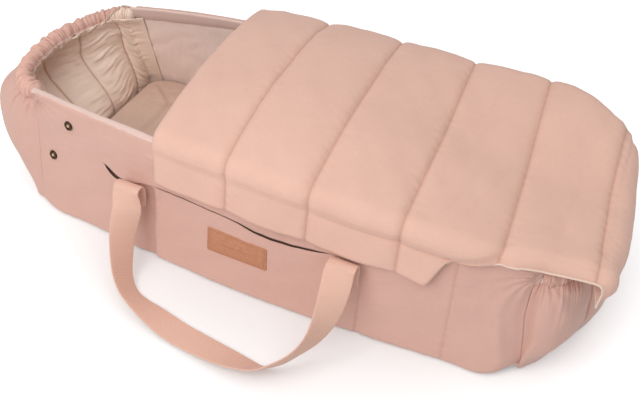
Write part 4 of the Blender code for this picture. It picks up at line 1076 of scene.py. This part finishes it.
grid = rings_inwards(outline(HEM_ROLL - BASE_INSET), 14, BASE_Z)
to_corner = np.hypot(CORNER_X - np.abs(grid[:, :, 0]), np.minimum(np.abs(grid[:, :, 1]) - 0.128, 0.0))
grid[:2, :, 2] += corner_lift(to_corner, 0.0, grid[:, :, 0] > 0)[:2]
base = cloth_grid("base_cloth", grid, wall_cotton, (0, 0, -1), wrap=True, thickness=BASE_THICKNESS)
dress(base, "dusty_pink", "base_panel")
grid = rings_inwards(outline(HEM_ROLL + PLATE_INSET), 10, PLATE_Z)
plate = cloth_grid("base_stiffener", grid, hidden_board, (0, 0, 1), wrap=True, thickness=PLATE_THICKNESS)
dress(plate, "grey_board", "base_board")
print("points round the base", grid.shape[1])

# %% [markdown]
# The mattress is a low pad of satin with rounded edges and nearly square ends. It is made of
# rings too: up the round edge at the bottom, over the round edge at the top, and inwards to the
# middle. The rings are nearly rectangles, made by raising a cosine and a sine to a small power.

# %% Mattress
MATTRESS_BOTTOM, MATTRESS_TOP, MATTRESS_ROUND, BOTTOM_ROUND = 0.0055, 0.0400, 0.009, 0.007
MATTRESS_CLEARANCE, SQUARENESS = 0.0125, 0.10
MATTRESS_POINTS, TOP_RINGS = 420, 60
WELT, WELT_WIDTH, CROSS_WELT_WIDTH = 0.0018, 0.0035, 0.0030
MATTRESS_WAVES, SMALL_WAVES, MATTRESS_CROWN = 0.0012, 0.0005, 0.0034
NEAR_WELT, FAR_WELT = (-0.255, -0.075), (-0.262, 0.075)
WELTS = (((-0.312, 0.116), FAR_WELT, WELT_WIDTH), (FAR_WELT, NEAR_WELT, CROSS_WELT_WIDTH),
         ((-0.312, -0.116), NEAR_WELT, WELT_WIDTH), (FAR_WELT, (-0.16, 0.118), WELT_WIDTH),
         (NEAR_WELT, (-0.16, -0.118), WELT_WIDTH))


def mattress_ring(level, inset):
    """Nearly a rectangle: a cosine and a sine, each raised to a small power, set the place along
    and across, and the width follows the walls."""
    angle = np.linspace(0, 2 * math.pi, MATTRESS_POINTS, endpoint=False)
    along = np.sign(np.cos(angle)) * np.abs(np.cos(angle)) ** SQUARENESS
    across = np.sign(np.sin(angle)) * np.abs(np.sin(angle)) ** SQUARENESS
    middle, half = (MATTRESS_HEAD_X + MATTRESS_FOOT_X) / 2, (MATTRESS_FOOT_X - MATTRESS_HEAD_X) / 2
    x = middle + along * (half - inset)
    y = across * (half_width(np.clip(x, -0.31, 0.31), 0.03) - MATTRESS_CLEARANCE - inset)
    return np.column_stack([x, y, np.full(MATTRESS_POINTS, level)])


def near_line(x, y, a, b, width):
    """Bell curve of the distance to a straight line between two places."""
    a, b = np.array(a), np.array(b)
    along = np.clip(((x - a[0]) * (b - a)[0] + (y - a[1]) * (b - a)[1]) / ((b - a) @ (b - a)), 0, 1)
    return bump(np.hypot(x - a[0] - along * (b - a)[0], y - a[1] - along * (b - a)[1]), width)


rings = []
for bend in np.linspace(0, 1, 8) * math.pi / 2:
    up, inset = 1 - math.cos(bend), 1 - math.sin(bend)
    rings.append(mattress_ring(MATTRESS_BOTTOM + BOTTOM_ROUND * up, BOTTOM_ROUND * inset))
for bend in np.linspace(0, 1, 12) * math.pi / 2:
    down, inset = 1 - math.sin(bend), 1 - math.cos(bend)
    rings.append(mattress_ring(MATTRESS_TOP - MATTRESS_ROUND * down, MATTRESS_ROUND * inset))
edge_rows = len(rings)
top_edge = rings[-1]
spine = top_edge * np.array([0.62, 0.0, 1.0])
rings += [top_edge + (spine - top_edge) * share for share in np.linspace(0, 1, TOP_RINGS)[1:]]
grid = np.stack(rings)
x, y, row = grid[:, :, 0], grid[:, :, 1], np.arange(len(rings))[:, None]
inwards = np.clip((row - edge_rows + 1) / (TOP_RINGS - 1), 0, 1)
welts = np.clip(sum(near_line(x, y, *welt) for welt in WELTS), 0, 1)
topside = ease(inwards, 0.0, 0.06) * (row >= edge_rows)
soft = MATTRESS_WAVES * ripples(x, y, 0.05, 0.05, 130) + SMALL_WAVES * ripples(x, y, 0.018, 0.018, 131)
grid[:, :, 2] += topside * (soft + MATTRESS_CROWN * inwards ** 0.5 - WELT * welts)
mattress = cloth_grid("mattress", grid, mattress_satin, seams_and_shade=0.30 * topside * welts, wrap=True)
dress(mattress, "beige_satin", "mattress_core", "mattress_cover")
print("mattress", round(MATTRESS_FOOT_X - MATTRESS_HEAD_X, 4), "long, top at", MATTRESS_TOP)

# %% [markdown]
# The quilt is one padded sheet of six sewn channels. It lies over both rims and over the foot
# end. Along the near rim it has a bound hem, and a thinner flap hangs on below that hem. Its
# seams run askew across the cot, and it rises in the middle and along the far edge. These sizes
# and curves say where it lies, before it gets any filling.

# %% Quilt sizes
SEAM_X = (-0.1405, -0.0395, 0.0615, 0.1625, 0.2635, 0.3600)
SKEWS = (-0.060, -0.045, -0.045, -0.070, -0.105, -0.125)
SKEW_REACH = 0.17
SEAT_GAP, SIDE_GAP, FOLD_ROUND, HEM_HANG, FLAP_HANG, FAR_HANG = 0.0006, 0.0028, 0.0080, 0.0090, 0.0400, 0.0035
FLAP_LEAST, FLAP_END_X, FLAP_SAG, FLAP_CURL = 0.0012, 0.2330, 0.0020, 0.0040
NEAR_CORNER_IN, FAR_CORNER_IN = 0.0160, 0.0200
FAR_OVERHANG, FAR_START_X = 0.030, -0.100
NEAR_LIFT = 0.0024
FOOT_OUT, FOOT_ROUND, FOOT_HANG, FOOT_TUCK = 0.0090, 0.0110, 0.0240, 0.0110
RISE_X, RISE_Z = (-0.16, -0.1405, 0.0110, 0.2130, 0.32, 0.40), (0.017, 0.018, 0.026, 0.004, 0.002, 0.001)
FAR_LIFT_X = (-0.16, -0.1405, -0.0395, 0.0615, 0.1625, 0.2635, 0.3110, 0.3600, 0.385)
FAR_LIFT_Z = (0.004, 0.005, 0.0080, 0.0105, 0.0145, 0.0270, 0.0325, 0.0270, 0.0190)
NEAR_STATIONS = np.concatenate([np.linspace(0, 1, 52), np.linspace(1, 2, 13)[1:], np.linspace(2, 3, 8)[1:],
                                np.linspace(3, 4, 20)[1:]])
FAR_STATIONS = np.concatenate([np.linspace(0, 1, 52), np.linspace(1, 2, 11)[1:], np.linspace(2, 3, 8)[1:]])
stations = np.concatenate([-NEAR_STATIONS[:0:-1], FAR_STATIONS])[None, :]
on_near, way_out, reach = stations < 0, np.sign(stations), np.abs(stations)


def hang_angle(x):
    """The near hem hangs straight down along the flap, and stands out level near the foot."""
    return math.pi / 2 * (1 - ease(x, 0.232, 0.300))


print("quilt", len(SEAM_X) - 1, "seams,", stations.size, "stations across")

# %% [markdown]
# The underside is worked out first. Across the cot it is a level part, a round fold and a
# hanging part, told apart by the station number: 0 to 1 is level, 1 to 2 the fold, 2 to 3 the
# hang, and 3 to 4 the flap. Over the foot end a second number counts in the same way. At the
# foot the hem is drawn up and shortened near the gathered corner.

# %% Underside of the quilt
def quilt_across(place, fall):
    """Across the cot: how far out, how far below the fold's top, and x before the foot's part.
    Level, then a quarter circle of the fold's size, then straight down with the wall's lean."""
    middle = curve_through(place, range(6), SEAM_X)
    skew = curve_through(place, range(6), SKEWS)
    past_fold, last_channel = np.clip(reach - 3, 0, 1), np.clip(place - 4, 0, 1)
    guess = middle + skew * way_out * 0.15 * np.minimum(reach, 1)
    to_foot = ease(guess, CORNER_X - 0.06, 0.395)
    far_grow = np.clip((middle - FAR_START_X) / (SEAM_X[4] - FAR_START_X), 0, 1) ** 2
    beyond = last_channel + 0.25 * np.minimum(fall, 1)
    side_extra = np.where(on_near, -NEAR_CORNER_IN * to_foot,
                          FAR_OVERHANG * far_grow - FAR_CORNER_IN * np.clip(beyond, 0, 1.3) ** 2)
    held = np.clip(guess, -CORNER_X, CORNER_X)
    span = half_width(held, rim_height(held)) + SIDE_GAP + side_extra
    bend = np.where(on_near, hang_angle(guess), math.pi / 2 * (1 - 0.6 * last_channel))
    angle = bend * np.clip(reach - 1, 0, 1)
    hang = np.where(on_near, HEM_HANG, FAR_HANG) * np.clip(reach - 2, 0, 1)
    run = FOLD_ROUND * np.sin(angle) + hang * np.cos(bend) * (reach > 2)
    run = run + np.where(bend < 0.3, FOLD_ROUND * np.clip(reach - 1, 0, 1) * (1 - bend / 0.3), 0.0)
    below = FOLD_ROUND * (1 - np.cos(angle)) + hang * np.sin(bend)
    flap = FLAP_HANG * ease(FLAP_END_X - guess, 0.0, 0.026) + FLAP_LEAST
    flap = np.where(on_near, flap * past_fold, 0.0)
    sag = FLAP_SAG * np.sin(math.pi * place) ** 2 * ease(place, 0.9, 1.3) * past_fold * on_near
    below = below + (flap + sag) * np.sin(bend)
    lean = (BASE_HALF_WIDTH - RIM_HALF_WIDTH) / 0.1775
    out = (span - FOLD_ROUND) * np.minimum(reach, 1) + run
    out = out + np.maximum(below - FOLD_ROUND, 0) * lean * np.where(on_near, 1.0, 0.0)
    curl = FLAP_CURL * bump(guess - 0.210, 0.016) * past_fold ** 2
    y = way_out * (out + np.where(on_near, curl, 0.0))
    return middle, out, span, below, middle + skew * way_out * np.minimum(out, SKEW_REACH), y


def quilt_under(place, fall):
    """Underside of the quilt. place counts channels from the head, 0 to 5; fall goes on over the
    foot end: 0 to 1 out, 1 to 2 round the fold and 2 to 3 down."""
    middle, out, span, below, x, y = quilt_across(place, fall)
    rise = curve_through(middle, RISE_X, RISE_Z) * (1 - np.minimum(out / span, 1) ** 2)
    near_up = NEAR_LIFT * ease(middle, 0.262, 0.300) * ease(reach, 0.6, 1.0)
    towards_far = np.sin(math.pi / 2 * np.minimum(out / span, 1.0)) ** 1.8
    far_up = curve_through(middle, FAR_LIFT_X, FAR_LIFT_Z) * towards_far
    lift = np.where(on_near, near_up, far_up)
    fold, hanging = math.pi / 2 * np.clip(fall - 1, 0, 1), np.clip(fall - 2, 0, 1)
    going_out = np.minimum(fall, 2)
    sideways = way_out * np.minimum(out, SKEW_REACH)
    near_corner = ease(-sideways, 0.084, 0.116)
    drawn = bump(sideways + 0.076, 0.030)
    drop = FOOT_ROUND * (1 - np.cos(fold)) + FOOT_HANG * hanging
    drop = drop - 0.55 * FOOT_HANG * drawn * hanging
    shorter = (1 - 0.5 * near_corner - 0.35 * drawn - 0.05 * ease(sideways, 0.02, 0.09)
               - 0.20 * ease(sideways, 0.08, 0.13))
    x = x - FOOT_TUCK * hanging * (1 - near_corner)
    x = (x + (FOOT_OUT * np.minimum(fall, 1) + FOOT_ROUND * np.sin(fold)) * shorter
         - 0.006 * going_out / 2 * np.where(on_near, 0, reach / 3))
    settle = 1 - going_out / 2
    z = (rim_height(x) + SEAT_GAP + rise * settle + lift * (0.5 + 0.5 * settle)
         - below * (0.4 + 0.6 * settle) - drop)
    return np.stack(np.broadcast_arrays(x, y, z), axis=2)


body_rows = np.linspace(0, 5, 151)
fall_rows = np.concatenate([np.linspace(0, 1, 7)[1:], np.linspace(1, 2, 11)[1:], np.linspace(2, 3, 15)[1:]])
place = np.concatenate([body_rows, np.full(len(fall_rows), 5.0)])[:, None]
fall = np.concatenate([np.zeros(len(body_rows)), fall_rows])[:, None]
under = quilt_under(place, fall)
print("underside", under.shape[:2], "width at its widest", round(float(np.ptp(under[:, :, 1])), 4))

# %% [markdown]
# The top is the underside moved outwards by the thickness of the filling, which is nearly the
# same over a whole channel and drops quickly at each seam. Towards the hems it is rounded off as
# a quarter of a circle. The filling thins on the flap, and the crease where the near hem is
# bound is pressed in. Small puckers run beside the seams.

# %% Filling of the quilt
QUILT_FULL, CHANNEL_DROP, FLAP_THINNER, FOOT_THINNER = 0.0150, 0.0018, 0.0050, 0.0030
HEM_THICK, LEAST_FILLING = 0.0044, 0.0020
GROOVE, GROOVE_ON_FLAP, GROOVE_WIDTH, CREASE_WIDTH = 0.0040, 0.0012, 0.0042, 0.0032
QUILT_PUCKER, QUILT_WAVES, SMALL_QUILT_WAVES = 0.0005, 0.0006, 0.00010
MIDDLE_COLUMN = 90
last_body = len(body_rows) - 1
middle_walk = lengths_along(under[:, MIDDLE_COLUMN:MIDDLE_COLUMN + 1], 0)[:, 0]
beyond = (middle_walk[last_body + 1:] - middle_walk[last_body]) / (middle_walk[-1] - middle_walk[last_body])
channel = np.concatenate([body_rows, 5 + beyond])[:, None]
across_walk, down = lengths_along(under, 1), lengths_along(under, 0)
seam_rows = [int(np.argmin(np.abs(channel[:, 0] - k))) for k in (1, 2, 3, 4, 5)]
from_seam = np.min(np.abs(np.stack([down - down[r:r + 1] for r in seam_rows])), axis=0)
crease_column = int(np.argmin(np.abs(stations[0] + 3)))
from_crease = np.abs(across_walk - across_walk[:, crease_column:crease_column + 1])
between = np.abs(np.sin(math.pi * np.clip(channel, 0, 6)))
on_flap = ease(-stations, 0.85, 3.3)
full = QUILT_FULL - CHANNEL_DROP * (1 - between ** 0.8) - FLAP_THINNER * on_flap
full = full - FOOT_THINNER * np.clip(fall, 0, 1)
groove = (GROOVE - GROOVE_ON_FLAP * on_flap) * np.exp(-from_seam / GROOVE_WIDTH)
crease = 0.0003 + 0.0028 * ease(under[:, :, 0], 0.00, 0.18) + 0.0020 * ease(under[:, :, 0], 0.20, 0.24)
crease = crease * np.exp(-from_crease / CREASE_WIDTH) * on_near * ease(-stations, 0.8, 2.6)


def rounded_edge(distance, size):
    """Quarter of a circle: 0 at the hem, 1 at a distance of its size and beyond."""
    return np.sqrt(1 - (1 - np.clip(distance / size, 0, 1)) ** 2)


edge = rounded_edge(down, 0.010) * rounded_edge(down[-1:] - down, 0.009)
edge = edge * rounded_edge(across_walk, 0.006) * rounded_edge(across_walk[:, -1:] - across_walk, 0.009)
pucker = QUILT_PUCKER * ripples(across_walk, channel, 0.010, 0.30, 140) * np.exp(-from_seam / 0.010)
slow = QUILT_WAVES * ripples(across_walk, down, 0.085, 0.055, 150)
slow = slow + SMALL_QUILT_WAVES * ripples(across_walk, down, 0.022, 0.022, 151)
filling = HEM_THICK * 0.5 + (full - groove - crease - HEM_THICK * 0.5 + pucker + slow) * edge
filling = np.maximum(filling, LEAST_FILLING)
square = -grid_normals(under)
square = square * np.sign(square[60, MIDDLE_COLUMN, 2])
over = under + square * filling[:, :, None]
print("quilt grid", over.shape[:2], "thickness", round(float(filling.max()), 4))

# %% [markdown]
# The top and the underside become one closed piece, with a strip of faces round the hem that
# joins their outer points. The quilt folds back at its fourth seam, whose direction is worked out
# here; nothing here bends it, and it stays one piece where it lies.

# %% The quilt as one closed piece
rows, columns = over.shape[:2]
count = rows * columns
top_faces = faces_of_grid(rows, columns, False)
index = np.arange(count).reshape(rows, columns)
border = np.concatenate([index[:, 0], index[-1, 1:], index[-2::-1, -1], index[0, -2:0:-1]])
following = np.roll(border, -1)
hem_faces = np.stack([border, following, following + count, border + count], axis=1)
faces = np.concatenate([top_faces, top_faces[:, ::-1] + count, hem_faces[:, ::-1]])
faces = faces if facing(over.reshape(-1, 3), top_faces)[2] > 0 else faces[:, ::-1]
# painted shade along the bound crease of the near hem
crease_painted_shade = 0.12 * np.exp(-from_crease / 0.0016) * (stations < -1) * ease(under[:, :, 0], 0.0, 0.1)
seams_and_shade = (0.60 * np.exp(-from_seam / 0.0013) + crease_painted_shade).ravel()
quilt = make_mesh("quilt", np.concatenate([over.reshape(-1, 3), under.reshape(-1, 3)]), faces,
                  np.tile(cloth_map(over), (2, 1)), np.concatenate([seams_and_shade, 0 * seams_and_shade]), quilt_cotton)
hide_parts("quilt_front", "quilt_foot")
fold_way = np.array([1.0, -SKEWS[4], 0.0])
fold_way /= np.linalg.norm(fold_way)
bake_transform(quilt)
print("quilt faces", len(faces))

# %% [markdown]
# A pale strip binds the quilt's hem. It shows as a thin light line where the hem runs free, by
# the foot. It is a thin tube carried along the hem, with its cross-section square to the path.
# A bevelled curve would give the same, but a tube of points is a mesh like the quilt.

# %% Binding
BINDING_RADIUS, BINDING_SIDES, BINDING_POINTS, BINDING_START_X = 0.0013, 10, 700, 0.226


def tube_along(name, path, radius, material):
    """Circle carried along a path; at each point it stands square to the path."""
    forward = unit(np.gradient(path, axis=0))
    side = unit(np.cross(forward, np.array([0.31, 0.17, 0.93])))
    up = np.cross(side, forward)
    angles = np.linspace(0, 2 * math.pi, BINDING_SIDES, endpoint=False)
    swell = np.ones(len(path))
    swell[0] = swell[-1] = 0.05
    ring = np.cos(angles)[None, :, None] * side[:, None] + np.sin(angles)[None, :, None] * up[:, None]
    return cloth_grid(name, path[:, None] + ring * (radius * swell)[:, None, None], material, wrap=True)


hem = 0.5 * (over + under)
start_row = int(np.argmin(np.abs(hem[:last_body, crease_column, 0] - BINDING_START_X)))
path = np.concatenate([hem[start_row:, 0], hem[-1, 1:-1], hem[::-1, -1]])
steps = walked(path)
path = at_distances(path, steps, np.linspace(0, steps[-1], BINDING_POINTS))
binding = tube_along("quilt_binding", path, BINDING_RADIUS, binding_cotton)
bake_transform(binding)
print("binding", round(float(steps[-1]), 3), "long")

# %% [markdown]
# Each handle is one length of webbing, sewn into the wall. It comes out of the slit, folds over
# and lies out on the floor. Its route is a table of places, each with the direction across the
# webbing, read off the picture, because no simple curve twists as a lying strap does. A rounded
# flat profile is carried along a smooth curve through the table.

# %% Route of a handle
HANDLE_WIDTH, HANDLE_GAUGE, FLOOR_GAP = 0.034, 0.0022, 0.0006
HANDLE_ROUTE = (
    (-0.1560, -0.1772, 0.0890, 0.91, 0.35, -0.22),
    (-0.1573, -0.1847, 0.0695, 0.71, 0.64, -0.30),
    (-0.1561, -0.1946, 0.0513, 0.49, 0.77, -0.40),
    (-0.1503, -0.2072, 0.0354, 0.35, 0.77, -0.53),
    (-0.1413, -0.2206, 0.0219, 0.24, 0.75, -0.61),
    (-0.1267, -0.2324, 0.0130, 0.21, 0.76, -0.62),
    (-0.1075, -0.2400, 0.0097, 0.21, 0.84, -0.50),
    (-0.0870, -0.2456, 0.0076, 0.20, 0.93, -0.30),
    (-0.0659, -0.2504, 0.0049, 0.18, 0.97, -0.15),
    (-0.0442, -0.2542, 0.0032, 0.16, 0.98, -0.10),
    (-0.0221, -0.2573, 0.0041, 0.13, 0.98, -0.13),
    (0.0002, -0.2601, 0.0056, 0.12, 0.97, -0.19),
    (0.0226, -0.2623, 0.0075, 0.10, 0.95, -0.29),
    (0.0450, -0.2635, 0.0099, 0.06, 0.88, -0.47),
    (0.0663, -0.2626, 0.0128, 0.04, 0.75, -0.66),
    (0.0842, -0.2547, 0.0216, 0.05, 0.67, -0.74),
    (0.0995, -0.2430, 0.0332, 0.05, 0.67, -0.74),
    (0.1119, -0.2294, 0.0468, 0.24, 0.67, -0.71),
    (0.1187, -0.2146, 0.0621, 0.50, 0.60, -0.62),
    (0.1205, -0.1989, 0.0782, 0.75, 0.46, -0.47),
    (0.1200, -0.1843, 0.0946, 0.92, 0.27, -0.29),
)
WAY_OUT = ((-0.1570, 0.080), (-0.1538, 0.098), (-0.1550, 0.1080), (-0.1600, 0.1118), (-0.1665, 0.1115))
FLAT = (1.0, 0.0, 0.0)
HEAD_TURN = (STRAP_HEAD_X + 0.0010, -0.1715, 0.1040, 1.0, 0.05, -0.03)
FOOT_TURN = (STRAP_FOOT_X - 0.0002, -0.1725, 0.1055, 0.98, 0.12, -0.12)


def handle_route(steps):
    """Inside the wall, out of the slit, over the fold, round the loop and back in: a smooth
    curve through the rows, number by number."""
    rows = [(STRAP_HEAD_X, y, z, *FLAT) for y, z in WAY_OUT] + [HEAD_TURN, *HANDLE_ROUTE, FOOT_TURN]
    rows = np.array(rows + [(STRAP_FOOT_X, y, z, *FLAT) for y, z in WAY_OUT[::-1]])
    places, knots = np.linspace(0, len(rows) - 1, steps), np.arange(len(rows))
    return np.stack([curve_through(places, knots, column) for column in rows.T], axis=1)


print("webbing length", round(float(walked(handle_route(420)[:, :3])[-1]), 3))

# %% [markdown]
# The strap's profile is a flat ring with round corners, a cosine and a sine raised to a small
# power. Where the loop would sink into the floor it is lifted to lie on it. Its ends are sewn into
# the cot.

# %% Handles
HANDLE_STEPS, HANDLE_SIDES, FLATNESS = 420, 36, 0.35


def sew_handle(label, side):
    """A flat ring carried along the route, with its width square to the way forward."""
    route = handle_route(HANDLE_STEPS)
    centre, width = route[:, :3], route[:, 3:]
    forward = unit(np.gradient(centre, axis=0))
    width = unit(width - (width * forward).sum(axis=1)[:, None] * forward)
    face = np.cross(forward, width)
    angles = np.linspace(0, 2 * math.pi, HANDLE_SIDES, endpoint=False)
    flat_x = np.sign(np.cos(angles)) * np.abs(np.cos(angles)) ** FLATNESS
    flat_y = np.sign(np.sin(angles)) * np.abs(np.sin(angles)) ** FLATNESS
    grid = (centre[:, None] + width[:, None] * (flat_x * HANDLE_WIDTH / 2)[None, :, None]
            + face[:, None] * (flat_y * HANDLE_GAUGE / 2)[None, :, None])
    grid[:, :, 2] += np.maximum(FLOOR_GAP - grid[:, :, 2].min(axis=1), 0)[:, None]
    grid[:, :, 1] *= -side
    shape = grid.shape[:2]
    uv = np.stack([np.broadcast_to(flat_x * HANDLE_WIDTH / 2, shape),
                   np.broadcast_to(walked(centre)[:, None], shape)], axis=-1).reshape(-1, 2)
    faces = faces_of_grid(*shape, True)
    strap = make_mesh(label + "_handle_webbing", grid.reshape(-1, 3), faces, uv, 0.0, webbing)
    corner = grid[0, 0]
    if np.cross(grid[1, 0] - corner, grid[0, 1] - corner) @ (corner - grid[0].mean(axis=0)) > 0:
        strap.data.flip_normals()
    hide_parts(label + "_handle", label + "_head_strap_end", label + "_foot_strap_end")
    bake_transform(strap)
    print(label, "handle", shape, "points")


for label, side in NEAR_AND_FAR:
    sew_handle(label, side)

# %% [markdown]
# A small bare plate of tan leather is sewn to the middle of the near wall. It is a rounded
# rectangle drawn in ring by ring, laid on the wall's curve, so that its edge is soft and the
# stitched border is pressed in. A bevelled box would stay flat and stand off the bowed wall.

# %% Label
LABEL_MIDDLE, LABEL_HALF = (-0.0180, 0.0682), (0.0400, 0.0165)
LABEL_CORNER, LABEL_SEAT, LABEL_GAP, LABEL_WOBBLE = 0.0026, 0.0012, 0.0008, 0.00025
LABEL_RINGS = ((0.0, 0.0, 0.5), (0.0, 0.0010, 0.5), (0.0002, 0.0015, 0.35), (0.0006, 0.0018, 0.2),
               (0.0013, 0.0019, 0.0), (0.0022, 0.00185, 0.1), (0.0028, 0.0016, 0.35), (0.0034, 0.00185, 0.1),
               (0.0045, 0.0020, 0), (0.008, 0.0020, 0), (0.012, 0.0020, 0), (0.0164, 0.0020, 0))
STITCH_INSET, STITCH_LIFT = 0.0028, 0.0006


def rounded_rectangle(inset, corner, count=30):
    """The label's outline moved inwards, with the same number of points on each round quarter."""
    corner = max(corner, 1e-5)
    long, tall = LABEL_HALF[0] - inset - corner, LABEL_HALF[1] - inset - corner
    quarters = []
    for quarter, (sx, sz) in enumerate(((1, 1), (-1, 1), (-1, -1), (1, -1))):
        angle = np.linspace(quarter, quarter + 1, count) * math.pi / 2
        x, z = sx * long + corner * np.cos(angle), sz * tall + corner * np.sin(angle)
        quarters.append(np.stack([x, z], axis=1))
    return np.concatenate(quarters)


def on_near_wall(ring, lift):
    """Places on the near wall, given from the label's middle, lifted off the cloth."""
    x, z = LABEL_MIDDLE[0] + ring[:, 0], LABEL_MIDDLE[1] + ring[:, 1]
    lip = curve_through(x, SLIT_X, LOW_LIP_Z)
    pushed = (LIP_OUT + LIP_OUT_MIDDLE * bump(x - 0.030, 0.045)) * np.exp(-(lip - z) / 0.018)
    return np.stack([x, -(outer_wall(-1, x, z) + pushed + LABEL_GAP + lift), z], axis=-1)


rings = []
for inset, lift, _ in LABEL_RINGS:
    ring = rounded_rectangle(inset, LABEL_CORNER - 0.8 * min(inset, 0.003))
    wobble = [ripples(ring[:, 0], ring[:, 1], 0.02, 0.02, seed) for seed in (160, 161)]
    rings.append(on_near_wall(ring + LABEL_WOBBLE * np.stack(wobble, axis=1), lift - LABEL_SEAT))
darker = np.array([dark for _, _, dark in LABEL_RINGS])[:, None]
patch = cloth_grid("leather_patch", np.stack(rings), leather, (0, -1, 0), darker, wrap=True)
dress(patch, "tan_leather", "leather_label")
ring = rounded_rectangle(STITCH_INSET, 0.0008)
path = on_near_wall(np.vstack([ring, ring[:1]]), STITCH_LIFT)
outward = np.broadcast_to([0.0, -1.0, 0.0], path.shape)
stitches = thread("label_stitches", [(path, outward)], tan_thread, 0.0026, 0.0020, 0.00030)
dress(stitches, "tan_leather")
print("label", 2 * LABEL_HALF[0], "by", 2 * LABEL_HALF[1])

# %% [markdown]
# Two ring studs sit near the head end of each long side. A stud is a small profile turned round
# an axis that points out of the wall, as on a lathe, which gives its lip and its hollow from
# one short list of points. The axis leans with the wall there.

# %% Press studs
RING_PROFILE = ((0.0016, -0.0008), (0.0058, -0.0004), (0.0062, 0.0004), (0.0062, 0.0011), (0.0059, 0.0017),
                (0.0053, 0.0021), (0.0046, 0.0022), (0.0040, 0.0020), (0.0036, 0.0014), (0.0034, 0.0007),
                (0.0030, 0.0005), (0.0016, 0.0005))
POST_PROFILE = ((0.0024, 0.0004), (0.0024, 0.0012), (0.0021, 0.0016), (0.0015, 0.0018), (0.0010, 0.0016),
                (0.0008, 0.0010), (0.0003, 0.0009))
STUD_PLACES = {"upper": (-0.266, 0.1404), "lower": (-0.300, 0.082)}
SLOPE_STEP = 0.004


def turned(name, profile, centre, axis, material, segments):
    """Profile of (radius, height) pairs turned about an axis."""
    axis = unit(axis)
    across = unit(np.cross(axis, (0, 0, 1.0)))
    up = np.cross(across, axis)
    angles = np.linspace(0, 2 * math.pi, segments, endpoint=False)
    spokes = np.cos(angles)[:, None] * across + np.sin(angles)[:, None] * up
    grid = np.stack([centre + radius * spokes + rise * axis for radius, rise in profile])
    return cloth_grid(name, grid, material, tuple(axis), wrap=True)


for label, side in NEAR_AND_FAR:
    for level, (x, z) in STUD_PLACES.items():
        centre = np.array([x, side * float(outer_wall(side, x, z)), z])
        slope_x = float(half_width(x + SLOPE_STEP, z) - half_width(x - SLOPE_STEP, z)) / (2 * SLOPE_STEP)
        slope_z = float(half_width(x, z + SLOPE_STEP) - half_width(x, z - SLOPE_STEP)) / (2 * SLOPE_STEP)
        axis = np.array([-slope_x, side, -slope_z])
        name = label + "_" + level
        ring = turned(name + "_ring_stud", RING_PROFILE, centre, axis, brass, 40)
        dress(ring, "antique_brass", name + "_stud")
        post = turned(name + "_stud_post", POST_PROFILE, centre, axis, brass_post, 28)
        dress(post, "antique_brass", name + "_stud")
        print(name, "stud at", centre.round(4))

# %% [markdown]
# Thread shows along the quilt's seams. Each row of stitches follows a row of points of the cloth
# that it holds, a hair above it. The rows are three pieces: three rows swing with the quilt's
# front, the row on the fold is left where it lies, and one stays with the cot.

# %% Quilt stitches
STITCH_ABOVE = 0.00005
normals = grid_normals(over)
normals = normals * np.sign(normals[60, MIDDLE_COLUMN, 2])


def stitch_rows(name, seams, first):
    """Stitches along some seams of the quilt, from a column to just short of the far hem."""
    lines = [(over[row, first:-4], normals[row, first:-4]) for row in seams]
    paths = [(cloth + STITCH_ABOVE * outward, outward) for cloth, outward in lines]
    rows = thread(name, paths, quilt_thread, 0.0034, 0.0022, 0.00026)
    return rows


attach(stitch_rows("quilt_body_stitches", seam_rows[:3], 3), "quilt_front_body")
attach(stitch_rows("quilt_foot_stitches", seam_rows[4:], crease_column), "cot")
fold_stitches = stitch_rows("quilt_fold_stitches", seam_rows[3:4], crease_column)
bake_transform(fold_stitches)
print("stitched seams", len(seam_rows))

# %% [markdown]
# Four pieces of the frame are right as they are: the small washers behind the press studs, seen
# only when the wall is opened up. They keep their shape and get the brass of the studs.

# %% Washers of the studs
for label, _ in NEAR_AND_FAR:
    for level in STUD_PLACES:
        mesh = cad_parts[f"{label}_{level}_stud_back"].data
        mesh.materials.clear()
        mesh.materials.append(brass)
        print(label, level, "washer is brass")

# %% [markdown]
# Last, a line is printed to say that the cot is dressed.

# %% End
print("the cot is dressed")
